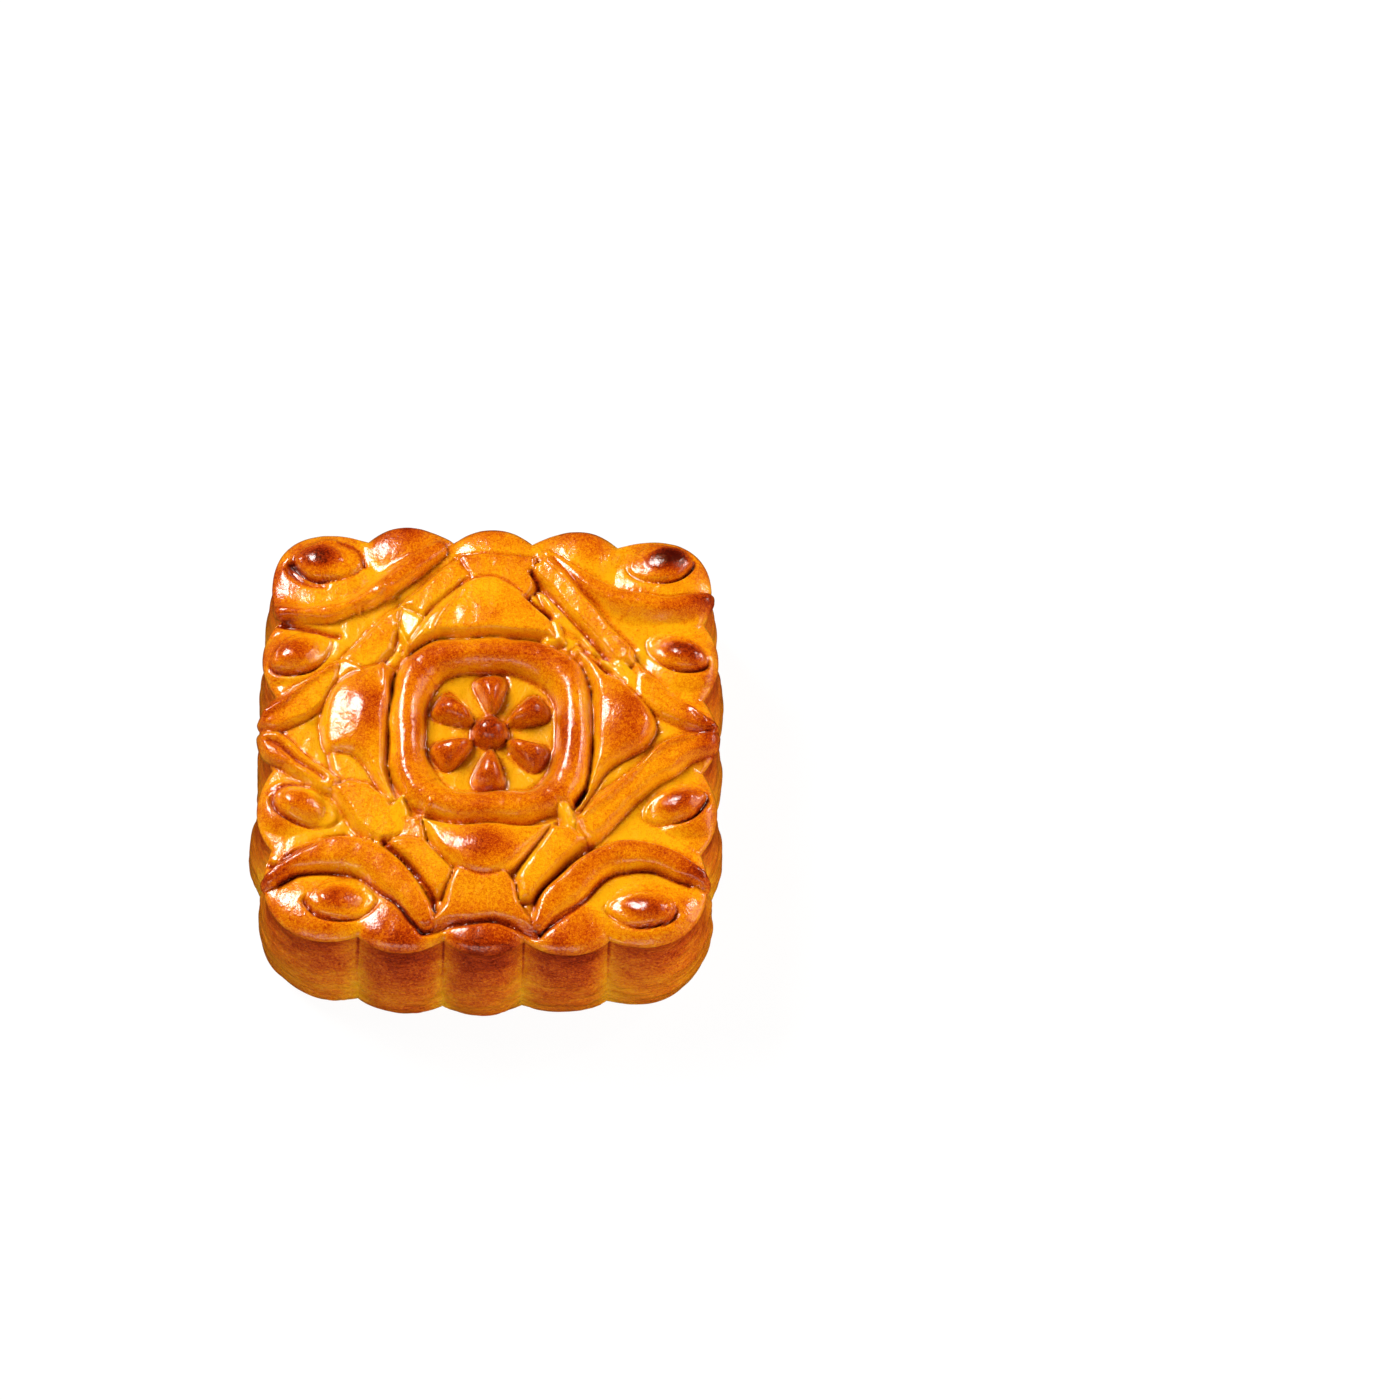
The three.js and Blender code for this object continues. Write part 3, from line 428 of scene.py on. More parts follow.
# The pillows under the buds: centre, radii, rise.
PILLOWS = (
    (-26.0, 28.5, 9.0, 7.0, 0.8),
    (27.0, 28.5, 8.0, 7.0, 1.0),
    (-25.5, -29.0, 8.0, 6.0, 1.0),
    (26.5, -29.0, 8.0, 6.0, 1.0),
    (-31.0, 13.2, 6.5, 5.0, 1.1),
    (-30.5, -12.2, 6.0, 5.0, 1.1),
    (31.0, 14.0, 6.5, 5.2, 1.1),
    (31.5, -11.4, 6.0, 5.0, 1.1),
)
PILLOW_BROWNING = 0.36
for centre, radius, rise, browning in DOMES:
    spread = np.hypot(pattern_x - centre[0], pattern_y - centre[1]) / radius
    browning = DOME_EDGE_BROWNING + (browning - DOME_EDGE_BROWNING) * smoothstep(1.4 - spread)
    lay(rise * (1 - spread ** DOME_ROUNDNESS), browning, crease=0.0, melt=0.4)
for centre_x, centre_y, radius_x, radius_y, rise in PILLOWS:
    spread = np.hypot((pattern_x - centre_x) / radius_x, (pattern_y - centre_y) / radius_y)
    lay(rise * (1 - spread ** 2), PILLOW_BROWNING, crease=0.0)
PANEL_EDGE = 1.3
# Outline, rise, lean to the back, browning.
PANELS = (
    (((-5.0, 31.4), (6.8, 31.2), (7.2, 27.0), (5.4, 24.0), (-4.9, 24.8)), 1.4, 0.06, 0.38),
    (((-4.3, -22.8), (-5.3, -25.6), (-6.0, -29.0), (-8.7, -32.6), (-5.4, -31.6), (-2.3, -31.0),
      (1.1, -30.8), (4.8, -31.5), (8.6, -32.9), (6.6, -30.0), (5.5, -28.4), (4.7, -25.1), (3.1, -23.4)),
     1.5, 0.1, 0.4),
)
for corners, rise, lean, browning in PANELS:
    lay(pad(corners, rise, PANEL_EDGE, (0.0, lean)), browning)

# ---- The crescents ---------------------------------------------------------------------
# A thick ridge of dough sweeps round each corner. The front two are broad flat bands, steep on both
# sides. The back two are round, steep on one side only, and run out gently on the other.
# How much wider a gentle flank is, and how much a band leans from the frame down to its corner.
RUN_OUT = 0.6
BAND_TILT = 0.16
# What the flanks lose of the browning, and the least that is left.
FLANK_PALING = 0.4
RIDGE_PALEST = 0.15
# The crease at the foot of a steep flank, and how a gentle one melts into the dough.
RIDGE_CREASE = 0.2
RIDGE_MELT = 0.7
# Plan places with the half width, the rise and the browning there, which flank is steepest, 1 for the
# left one of the path and -1 for the right one, and whether the other one runs out gently.
CRESCENTS = (
    (((-36.0, 21.7, 1.0, 1.1, 0.3), (-32.4, 21.3, 1.2, 1.5, 0.26), (-28.5, 21.0, 1.3, 1.6, 0.26),
      (-24.5, 21.3, 1.4, 1.7, 0.26), (-20.2, 23.2, 1.5, 1.7, 0.26), (-15.9, 26.4, 1.8, 1.9, 0.3),
      (-11.6, 30.0, 2.0, 1.8, 0.5), (-8.4, 32.6, 1.3, 1.3, 0.4)), -1, True),
    (((8.8, 32.0, 1.1, 1.2, 0.3), (10.4, 30.6, 1.6, 1.5, 0.34), (14.4, 27.1, 2.1, 1.9, 0.38),
      (18.8, 24.7, 2.3, 2.0, 0.36), (24.5, 23.2, 2.4, 2.0, 0.38), (30.2, 23.4, 2.1, 1.8, 0.48),
      (36.0, 25.4, 1.5, 1.3, 0.6)), 1, True),
    (((-35.0, -26.0, 0.8, 1.2, 0.4), (-32.3, -24.2, 1.2, 1.6, 0.4), (-29.4, -21.6, 2.2, 1.9, 0.42),
      (-25.2, -20.3, 2.8, 2.0, 0.38), (-20.3, -20.3, 3.2, 2.1, 0.36), (-16.6, -22.0, 3.3, 2.1, 0.38),
      (-13.0, -25.4, 3.0, 2.0, 0.36), (-9.9, -29.3, 2.3, 1.8, 0.36), (-8.8, -31.4, 1.5, 1.5, 0.4)),
     -1, False),
    (((35.0, -24.4, 0.8, 1.2, 0.42), (33.4, -23.0, 1.2, 1.6, 0.42), (31.1, -21.6, 1.8, 1.9, 0.42),
      (27.2, -20.0, 2.2, 2.0, 0.38), (22.9, -19.4, 2.3, 2.1, 0.36), (19.0, -20.3, 2.6, 2.1, 0.38),
      (16.3, -22.2, 2.7, 2.1, 0.4), (13.4, -25.1, 2.8, 2.0, 0.38), (10.4, -28.4, 2.5, 1.8, 0.38),
      (8.7, -31.2, 1.5, 1.5, 0.4)), 1, False),
)


def ridge(path, steep_side, runs_out):
    """A ridge along a path of places, half widths, rises and brownings. A steep flank falls by the fourth
    power of the distance, as a share of the half width. A gentle one is wider and falls by one less the
    square of one less the square of that share. Returns height, browning and how gentle the flank is."""
    distance, extra = nearest_on(path)
    half_width, rise, browning = extra[..., 0], extra[..., 1], extra[..., 2]
    place = steep_side * distance / half_width
    gentle = runs_out * (1 - smoothstep(0.5 + 2 * place))
    share = np.abs(place) / (1 + RUN_OUT * gentle)
    gentle_fall = 1 - np.clip(1 - share ** 2, 0, None) ** 2 + np.clip(share - 1, 0, None)
    fall = share ** 4 + gentle * (gentle_fall - share ** 4)
    tilt = 1 if runs_out else 1 - BAND_TILT * np.clip(place, -1, 1)
    return rise * tilt * (1 - fall), browning * (1 - FLANK_PALING * share ** 2), gentle


for path, steep_side, runs_out in CRESCENTS:
    height, browning, gentle = ridge(smooth_path(path, 40), steep_side, runs_out)
    lay(height, np.clip(browning, RIDGE_PALEST, None), crease=RIDGE_CREASE * (1 - gentle),
        melt=RIDGE_MELT * gentle)

# ---- The buds --------------------------------------------------------------------------
# Almond buds of dough lie in the hollow of each crescent and along both sides. They are undercut on the
# near side, where the mould drags them on its way out, and painted shade darkens that undercut. Their small
# caps brown darkest.
BUD_BODY = 0.8
BUD_CAP = 0.3
BUD_RIM = 0.28
BUD_CREASE = 1.0
# The size of the cap as a share of the bud, and where the crease and the rim run, with their widths.
CAP_SIZE = 0.62
CREASE_PLACE = (1.04, 0.09)
RIM_PLACE = (0.86, 0.1)
# What the inner end of a bud keeps of the crease and of the body.
INNER_CREASE = 0.25
INNER_BODY = 0.45
# The browning of the body as a share of the cap's, and the painted shade of the undercut crease.
BODY_BROWNING = 0.55
UNDERCUT_PAINTED_SHADE = 0.35
# Centre, half length, half width, tilt in degrees, rise, browning, how far the cap lies along.
BUDS = (
    ((-25.6, 30.4), 5.6, 3.6, 2, 1.1, 0.72, -1.2),
    ((26.8, 30.8), 5.2, 3.3, 10, 1.1, 0.92, 0.9),
    ((-21.9, -28.0), 5.6, 3.2, 3, 1.0, 0.6, -0.2),
    ((24.4, -28.5), 5.4, 2.9, -4, 1.0, 0.62, 0.3),
    ((-29.4, 14.1), 5.3, 3.2, 30, 1.2, 0.5, -0.6),
    ((-28.0, -12.4), 5.5, 3.0, -20, 1.15, 0.38, -0.6),
    ((29.5, 15.4), 5.0, 2.9, -25, 1.15, 0.7, 0.6),
    ((29.4, -11.0), 5.2, 2.8, 22, 1.15, 0.62, 0.5),
)
# A bud's lens adds the square of the place along it to the power 1.6 of the place across, and takes that
# to the power 0.75. It is 1 at the edge. The body is what is left of one, to the power 0.6, and the core is
# a smaller ellipse that slides along the bud and carries the cap.
for centre, length, width, tilt, rise, browning, slide in BUDS:
    along, across = along_across(centre, math.radians(tilt))
    lens = ((along / length) ** 2 + np.abs(across / width) ** 1.6) ** 0.75
    near_side = smoothstep(0.5 - 0.8 * across / width)
    outward = smoothstep(0.6 + np.sign(centre[0]) * along / length)
    crease = near_side * np.exp(-((lens - CREASE_PLACE[0]) / CREASE_PLACE[1]) ** 2)
    crease *= INNER_CREASE + (1 - INNER_CREASE) * outward
    body = np.clip(1 - lens ** 2, 0, None) ** 0.6 * (INNER_BODY + (1 - INNER_BODY) * outward)
    rim = np.exp(-((lens - RIM_PLACE[0]) / RIM_PLACE[1]) ** 2) * (1 - near_side)
    core = np.hypot((along - slide) / (CAP_SIZE * length), across / (CAP_SIZE * width) - 0.12)
    cap = smoothstep((1.08 - core) / 0.3) * (1 - 0.35 * core ** 2)
    pattern["height"] += BUD_BODY * rise * body + BUD_CAP * cap + BUD_RIM * rim - BUD_CREASE * crease
    pattern["browning"] += (BODY_BROWNING * browning - pattern["browning"]) * smoothstep(body * 1.3)
    # Painted shade in the undercut crease on the near side.
    pattern["browning"] += UNDERCUT_PAINTED_SHADE * crease
    pattern["browning"] += (browning - pattern["browning"]) * smoothstep(1.3 - core)

# ---- The creases and the thin ridges ---------------------------------------------------
# Folds that the dough closes on when the cake leaves the mould, darkened partly by wash that gathers and
# burns in them and partly by painted shade, and thin ridges that it squeezes up into the joints of the
# carving.
# Path, depth, half width, and the darkening: burnt wash and painted shade.
CREASES = (
    (((-31.8, 29.7), (-31.0, 27.9), (-29.1, 26.5), (-26.2, 25.9)), 0.5, 0.6, 0.42),
    (((-23.9, 33.4), (-21.2, 32.0), (-19.8, 29.6)), 0.4, 0.4, 0.35),
    (((-36.0, 20.6), (-32.3, 19.2), (-27.8, 18.3), (-23.6, 17.5)), 0.8, 0.5, 0.35),
    (((-33.5, -1.4), (-30.8, -3.6), (-27.6, -6.1), (-25.3, -7.7)), 0.6, 0.45, 0.3),
    (((-34.0, -9.8), (-31.0, -8.8), (-28.2, -8.9)), 0.4, 0.4, 0.25),
    (((-36.0, -20.0), (-32.2, -22.2), (-28.8, -20.2), (-25.8, -18.4), (-21.5, -17.0)), 0.7, 0.5, 0.3),
    (((-9.2, -32.7), (-5.4, -31.5), (-2.3, -30.9), (1.1, -30.7), (4.8, -31.4), (8.8, -32.8)),
     0.8, 0.6, 0.2),
    (((6.6, 28.0), (8.2, 24.0), (9.8, 20.2)), 0.5, 0.4, 0.2),
    (((6.4, 28.3), (11.0, 22.9), (15.3, 17.9), (19.8, 12.5)), 0.45, 0.4, 0.25),
    (((9.9, 31.2), (14.2, 26.0), (18.4, 21.2), (23.0, 15.8)), 0.3, 0.5, 0.15),
    (((-15.6, -18.2), (-12.0, -22.1), (-8.0, -26.4), (-7.7, -29.3)), 0.8, 0.4, 0.5),
    (((-31.8, -25.2), (-29.3, -23.9), (-25.4, -23.3), (-20.6, -23.7), (-17.1, -25.3), (-13.6, -28.4),
      (-9.6, -32.9)), 0.35, 0.4, 0.35),
    (((9.3, -32.5), (11.9, -30.8), (15.3, -27.5), (17.8, -24.5), (19.9, -22.9), (23.4, -21.9),
      (27.7, -22.3), (32.0, -24.0)), 0.35, 0.4, 0.35),
    (((8.0, -28.9), (9.2, -25.5), (12.2, -22.6), (15.6, -19.7), (16.4, -18.0)), 0.6, 0.4, 0.4),
    (((5.7, 23.9), (9.2, 21.0)), 0.9, 0.5, 0.5),
    (((14.8, 15.0), (18.8, 11.2)), 0.8, 0.5, 0.5),
    (((14.1, -10.9), (15.6, -9.0)), 0.9, 0.5, 0.6),
)
# Path, height, half width.
RIDGES = (
    (((14.2, -14.9), (17.2, -12.0), (21.5, -7.7), (24.9, -4.3), (28.3, -1.3), (32.7, 0.9)), 0.5, 0.6),
    (((-33.6, -9.7), (-30.6, -8.4), (-27.1, -9.0), (-24.0, -10.9), (-22.2, -13.4)), 0.3, 0.5),
    (((9.0, 30.6), (13.4, 25.4), (17.6, 20.6), (22.3, 15.0)), 0.75, 0.5),
    (((-16.6, 11.4), (-15.8, 6.8), (-15.2, 1.1), (-15.0, -5.6)), 0.6, 0.5),
    (((-4.4, 24.6), (-7.0, 20.6), (-8.6, 16.9)), 0.4, 0.5),
    (((28.7, 8.7), (33.5, 3.4)), 0.5, 0.4),
    (((24.6, 10.9), (28.7, 8.2)), 0.4, 0.4),
    (((-23.8, 11.4), (-28.9, 7.7), (-34.0, 2.8)), 0.5, 0.45),
    (((-10.4, -15.0), (-8.6, -12.6)), 0.5, 0.4),
    (((14.2, -12.8), (15.1, -16.2), (16.0, -17.8)), 0.6, 0.5),
    (((-14.4, 18.6), (-12.6, 14.8)), 0.5, 0.4),
)
# A bead of dough on the back left crescent: centre and radii, then its rise.
BEAD = (-16.5, 24.7, 0.85, 0.85)
BEAD_RISE = 1.1
# Places that caught more heat: centre, radii, browning.
SCORCHES = (
    (-34.5, 25.5, 4.0, 6.0, 0.3),
    (-34.0, -27.0, 3.0, 5.0, 0.12),
    (34.0, -22.0, 3.0, 4.0, 0.14),
    (34.0, 3.0, 4.0, 6.0, 0.14),
    (0.0, 36.5, 20.0, 2.0, 0.12),
)
pattern["height"] += BEAD_RISE * hill(*BEAD)
for centre_x, centre_y, radius_x, radius_y, browning in SCORCHES:
    pattern["browning"] += browning * hill(centre_x, centre_y, radius_x, radius_y)
for path, depth, half_width, browning in CREASES:
    distance, _ = nearest_on(smooth_path(path, 20))
    dip = np.exp(-(distance / half_width) ** 2)
    pattern["height"] -= depth * dip
    # The fold is darkened partly as burnt wash and partly as painted shade.
    pattern["browning"] += browning * dip
for path, height, half_width in RIDGES:
    distance, _ = nearest_on(smooth_path(path, 12))
    pattern["height"] += height * np.exp(-(distance / half_width) ** 2)

# ---- The skin of the crust -------------------------------------------------------------
# One closed surface: the moulded top, the fluted wall and the flat underside. The pattern stands out
# along the normals of the plain top, and dies away into the lip.
RELIEF = 1.35
RELIEF_FADE = 1.3
LIP_RELIEF = 0.35
LUMPS = 0.035
LUMP_SIZE = 2.6
CELL_SIZE = 2 * HALF_WIDTH / CELLS
# The dough swells as a whole between its creases: the share of swelling, its reach and its mean height.
BODY_SHARE = 0.35
BODY_REACH = 3.2
BODY_MEAN = 0.9
MELT_REACH = 0.14


def blurred(field, radius):
    """A field averaged with weights that fall off as a bell curve, along each axis in turn."""
    spread = radius / CELL_SIZE
    offsets = np.arange(-int(3 * spread), int(3 * spread) + 1)
    weights = np.exp(-(offsets / spread) ** 2 / 2)
    field = np.pad(field, len(offsets) // 2, mode="edge")
    for axis in (0, 1):
        field = np.apply_along_axis(np.convolve, axis, field, weights / weights.sum(), mode="valid")
    return field


def unit(vectors):
    """Vectors scaled to length one."""
    return vectors / np.linalg.norm(vectors, axis=-1, keepdims=True)


plain = np.stack([plan_x, plan_y, plain_top], axis=-1)
plain_normal = unit(np.cross(np.gradient(plain, axis=1), np.gradient(plain, axis=0)))
body = blurred(pattern["height"], BODY_REACH)
melted = blurred(pattern["height"], MELT_REACH)
lumpy = RELIEF * (melted - BODY_SHARE * (BODY_MEAN - body)) + LUMPS * ripple(LUMP_SIZE, 4)
relief = lumpy * (LIP_RELIEF + (1 - LIP_RELIEF) * smoothstep(from_lip / RELIEF_FADE))
top = plain + plain_normal * relief[..., None]

# The walk round the edge of the top, anticlockwise from the front left corner.
steps = np.arange(CELLS)
walk_column = np.concatenate([steps, np.full(CELLS, CELLS), CELLS - steps, np.zeros(CELLS, int)])
walk_row = np.concatenate([np.zeros(CELLS, int), steps, np.full(CELLS, CELLS), CELLS - steps])
walk_angle = top_angle[walk_row, walk_column]
walk_crease = top_crease[walk_row, walk_column]
wall_line = smooth_path(WALL, WALL_ROWS + 1)[1:]
wall_angle, wall_height = np.meshgrid(walk_angle, wall_line[:, 0])
wall_inset = wall_line[:, 1:2] + wall_line[:, 2:3] * walk_crease
# The skin of the wall sets in shallow level folds where the swelling dough slid down the mould. They dip
# into the grooves between the flutes. They are made of this many waves, each with a height and a number
# of crests round the wall between the two that are given.
FOLD_WAVES = 14
FOLD_HEIGHT = (2.2, 4.2)
FOLDS_ROUND = (4, 16)
FOLD_PULL = 2.2
# The folds pucker where the waves add up to much less than their peak. They start above the foot, end
# below the lip, and are deeper in the grooves.
FOLD_DEPTH = 0.45
FOLD_PEAK = 3.5
FOLD_ROUNDING = 0.15
FOLD_MEAN = 0.45
FOLD_START = 3.0
FOLD_END = 8.0
CREST_FOLDS = 0.4
GROOVE_FOLDS = 0.5
folds = np.zeros_like(wall_angle)
random = np.random.default_rng(5)
for turn, height_share, phase in random.uniform(0, 1, (FOLD_WAVES, 3)):
    upright = 2 * math.pi / (FOLD_HEIGHT[0] + height_share * (FOLD_HEIGHT[1] - FOLD_HEIGHT[0]))
    around = round(FOLDS_ROUND[0] + turn * (FOLDS_ROUND[1] - FOLDS_ROUND[0]))
    around *= 1 if phase < 0.5 else -1
    level = wall_height - FOLD_PULL * walk_crease
    folds += np.sin(upright * level + around * wall_angle + 4 * math.pi * phase)
fold_share = smoothstep(wall_height / FOLD_START) * smoothstep((lip_height - wall_height) / FOLD_END)
fold_share *= CREST_FOLDS + GROOVE_FOLDS * walk_crease
wall_inset -= FOLD_DEPTH * fold_share * (np.hypot(folds / FOLD_PEAK, FOLD_ROUNDING) - FOLD_MEAN)
wall_x, wall_y = outline(wall_angle, wall_inset, wall_line[:, 3:4])
wall_x, wall_y = slipped(wall_x, wall_y, wall_angle, (wall_height / lip_height) ** 2)
wall = np.stack([wall_x, wall_y, wall_height], axis=-1)
shrink = np.linspace(1, 0, UNDERSIDE_ROWS + 1)[1:-1, None, None]
underside = wall[-1][None] * shrink
foot = np.zeros((1, 3))

# Each cell of the top is split along the diagonal whose ends differ least in height, so that ridges stay
# whole. The wall and the underside are rings of cells below it, and a fan closes the foot.
columns = 4 * CELLS
points = np.concatenate([top.reshape(-1, 3), wall.reshape(-1, 3), underside.reshape(-1, 3), foot])
corner = np.arange((CELLS + 1) ** 2).reshape(CELLS + 1, CELLS + 1)
cell = np.stack([corner[:-1, :-1], corner[:-1, 1:], corner[1:, 1:], corner[1:, :-1]], axis=-1)
heights = points[:, 2][cell]
level_steps = np.abs(heights[..., :2] - heights[..., 2:])
split = (level_steps[..., 0] < level_steps[..., 1])[..., None]
first = np.where(split, cell[..., [0, 1, 2]], cell[..., [0, 1, 3]])
second = np.where(split, cell[..., [0, 2, 3]], cell[..., [1, 2, 3]])
rings = np.vstack([
    corner[walk_row, walk_column],
    (CELLS + 1) ** 2 + np.arange((len(wall) + len(underside)) * columns).reshape(-1, columns),
])
upper, lower = rings[:-1], rings[1:]
lower_half = np.stack([lower, np.roll(lower, -1, axis=1), np.roll(upper, -1, axis=1)], axis=-1)
upper_half = np.stack([lower, np.roll(upper, -1, axis=1), upper], axis=-1)
last = rings[-1]
fan = np.stack([np.full(columns, len(points) - 1), np.roll(last, -1), last], axis=-1)
faces = (first, second, lower_half, upper_half, fan)
triangles = np.concatenate([part.reshape(-1, 3) for part in faces])

# ---- The browning and the painted shade and light --------------------------------------
# Heat catches what stands proud of its surroundings and hollows stay amber. Narrow creases darken, partly
# as wash burnt in them and partly as painted shade. The wall browns most under the lip, where painted
# shade adds to it, and least in the creases between its flutes. Its right and left sides are lighter with
# painted light, and the bottoms of its grooves darker with painted shade.
NEIGHBOURHOOD = 2.4
STAND_BROWNING = 0.2
STAND_LIMITS = (-1.0, 1.2)
CREASE_SCALE = 0.8
# How much the narrow creases darken: partly wash burnt in them, partly painted shade.
CREASE_BROWNING_AND_SHADE = 1.0
CREASE_LIMIT = 0.4
CREASE_LEAST = 0.05
RIM_BROWNING = 0.24
RIM_WIDTH = 7.0
RIM_BLOTCH_SIZE = 5.0
# Height on the wall and its browning there, from the lip down. The dark band just under the lip is
# partly painted shade, where the lip overhangs.
WALL_BROWNING_AND_SHADE = np.array([[24.4, 0.5], [22.8, 0.78], [20.0, 0.74], [15.0, 0.58], [8.0, 0.44], [0.0, 0.44]])
# What the grooves between the flutes take off, and the painted light that lightens the whole of the right
# and left walls. Painted shade darkens the bottom of a groove again in its upper part.
GROOVE_LIGHTENING = 0.42
GROOVE_ROUNDNESS = 1.6
SIDE_PAINTED_LIGHT = 0.14
GROOVE_PAINTED_SHADE = 0.5
GROOVE_SHADE_HEIGHT = (7.0, 21.0)
UNDERSIDE_BROWNING = 0.7

stand = np.clip(relief - blurred(relief, NEIGHBOURHOOD), *STAND_LIMITS)
narrow = np.clip(blurred(relief, CREASE_SCALE) - relief - CREASE_LEAST, 0, CREASE_LIMIT)
nearby = blurred(pattern["browning"], CREASE_SCALE)
# The narrow creases are darkened partly as burnt wash and partly as painted shade.
top_browning_and_shade = pattern["browning"] + STAND_BROWNING * stand + CREASE_BROWNING_AND_SHADE * narrow * (0.4 + nearby)
rim_share = smoothstep(1 - from_lip / RIM_WIDTH) * (0.7 + 0.3 * ripple(RIM_BLOTCH_SIZE, 8))
top_browning_and_shade += RIM_BROWNING * rim_share
wall_browning_and_shade = np.interp(wall_height, WALL_BROWNING_AND_SHADE[::-1, 0], WALL_BROWNING_AND_SHADE[::-1, 1])
wall_browning_and_shade -= GROOVE_LIGHTENING * walk_crease ** GROOVE_ROUNDNESS
# Painted light: the right and left walls are lighter, as where the side lamps fall on them.
wall_browning_and_shade -= SIDE_PAINTED_LIGHT * smoothstep(3 * np.abs(np.cos(wall_angle)) - 1.2)
# Painted shade: a thin dark line in the bottom of each groove, in its upper part.
groove_shade_share = smoothstep((wall_height - GROOVE_SHADE_HEIGHT[0]) / (GROOVE_SHADE_HEIGHT[1] - GROOVE_SHADE_HEIGHT[0]))
wall_browning_and_shade += GROOVE_PAINTED_SHADE * smoothstep(9 * walk_crease - 8) * groove_shade_share
below = np.full(len(underside) * columns + 1, UNDERSIDE_BROWNING)
# The browning also holds the painted shade of creases, undercuts, grooves and lip, and the side walls'
# painted light.
browning = np.concatenate([top_browning_and_shade.ravel(), wall_browning_and_shade.ravel(), below])
on_wall = np.concatenate([np.zeros(plan_x.size), np.ones(len(points) - plan_x.size)])

mesh = bpy.data.meshes.new("crust")
mesh.from_pydata(points * MM, [], triangles)
mesh.polygons.foreach_set("use_smooth", np.ones(len(mesh.polygons), dtype=bool))
for name, values in (("browning", browning), ("on_wall", on_wall)):
    attribute = mesh.attributes.new(name, "FLOAT", "POINT")
    attribute.data.foreach_set("value", values.astype(np.float32))
mesh.update()
crust = bpy.data.objects.new("crust", mesh)
bpy.context.scene.collection.objects.link(crust)

# ---- The egg-washed crust --------------------------------------------------------------
# Soft wheat pastry brushed twice with egg yolk and baked. It is amber where it lies low and red brown
# where it stands up, with a fine dark speckle. The yolk sets as a clear, slightly uneven gloss over it.
# The sizes of the patterns and the depths that they press in. Real crumb is finer than the grain, which
# is as coarse as it needs to be to show.
BLOTCH_SIZE = 3.5
PIT_SIZE = 0.45
PIT_DEPTH = 0.055
DIMPLE_SIZE = 1.3
DIMPLE_DEPTH = 0.08
GRAIN_SIZE = 0.2
GRAIN_DEPTH = 0.06
# The skin of the wall is drawn out along the mould in level streaks.
STREAK_HEIGHT = 1.7
STREAK_LENGTH = 8.0
STREAK_DEPTH = 0.36
# What each pattern adds to the browning from its lightest to its darkest place.
BLOTCH_SHARE = 0.45
PIT_SHARE = 0.6
GRAIN_SHARE = 0.8
STREAK_SHARE = 0.3
# Browning and colour, from raw amber to burnt.
BAKED_COLOURS = (
    (0.0, "#E6A20A"),
    (0.2, "#DC8604"),
    (0.42, "#C86002"),
    (0.62, "#A83702"),
    (0.82, "#791A02"),
    (1.0, "#3E0502"),
)


def linear(colour):
    """Turns an sRGB hex colour to the linear values that Blender works in."""
    parts = [int(colour[i:i + 2], 16) / 255 for i in (1, 3, 5)]
    return [p / 12.92 if p <= 0.04045 else ((p + 0.055) / 1.055) ** 2.4 for p in parts] + [1.0]


def node(material, kind, links=(), **settings):
    """Adds a node, sets its inputs or its own settings by name, and links inputs to other sockets."""
    made = material.node_tree.nodes.new(kind)
    for name, value in settings.items():
        name = name.replace("_", " ")
        if name in made.inputs:
            made.inputs[name].default_value = value
        else:
            setattr(made, name.replace(" ", "_"), value)
    for name, socket in links:
        material.node_tree.links.new(socket, made.inputs[name])
    return made


baked = bpy.data.materials.new("egg_washed_crust")
baked.use_nodes = True
baked.node_tree.nodes.clear()
place = node(baked, "ShaderNodeTexCoord").outputs["Object"]
# The browning attribute carries real browning together with painted shade and painted light.
browning_and_shade = node(baked, "ShaderNodeAttribute", attribute_name="browning").outputs["Fac"]
wall_mask = node(baked, "ShaderNodeAttribute", attribute_name="on_wall").outputs["Fac"]
blotches = node(baked, "ShaderNodeTexNoise", [("Vector", place)], Scale=1 / (BLOTCH_SIZE * MM), Detail=4.0)
pits = node(baked, "ShaderNodeTexNoise", [("Vector", place)], Scale=1 / (PIT_SIZE * MM), Detail=3.0)
dimples = node(baked, "ShaderNodeTexNoise", [("Vector", place)], Scale=1 / (DIMPLE_SIZE * MM), Detail=1.5)
grain = node(baked, "ShaderNodeTexNoise", [("Vector", place)], Scale=1 / (GRAIN_SIZE * MM), Detail=2.0)
stretched = node(baked, "ShaderNodeMapping", [("Vector", place)],
                 Scale=(1 / (STREAK_LENGTH * MM), 1 / (STREAK_LENGTH * MM), 1 / (STREAK_HEIGHT * MM)))
streaks = node(baked, "ShaderNodeTexNoise", [("Vector", stretched.outputs["Vector"])],
               Scale=1.0, Detail=3.0)
masked = node(baked, "ShaderNodeMath", operation="MULTIPLY")
baked.node_tree.links.new(streaks.outputs["Fac"], masked.inputs[0])
baked.node_tree.links.new(wall_mask, masked.inputs[1])


def plus_share(field, share, total):
    """Adds a share of a field, taken from its mean of one half, to a running total."""
    change = node(baked, "ShaderNodeMath", operation="MULTIPLY_ADD")
    change.inputs[1].default_value = share
    change.inputs[2].default_value = -share / 2
    baked.node_tree.links.new(field, change.inputs[0])
    result = node(baked, "ShaderNodeMath", operation="ADD")
    baked.node_tree.links.new(change.outputs[0], result.inputs[0])
    baked.node_tree.links.new(total, result.inputs[1])
    return result.outputs[0]


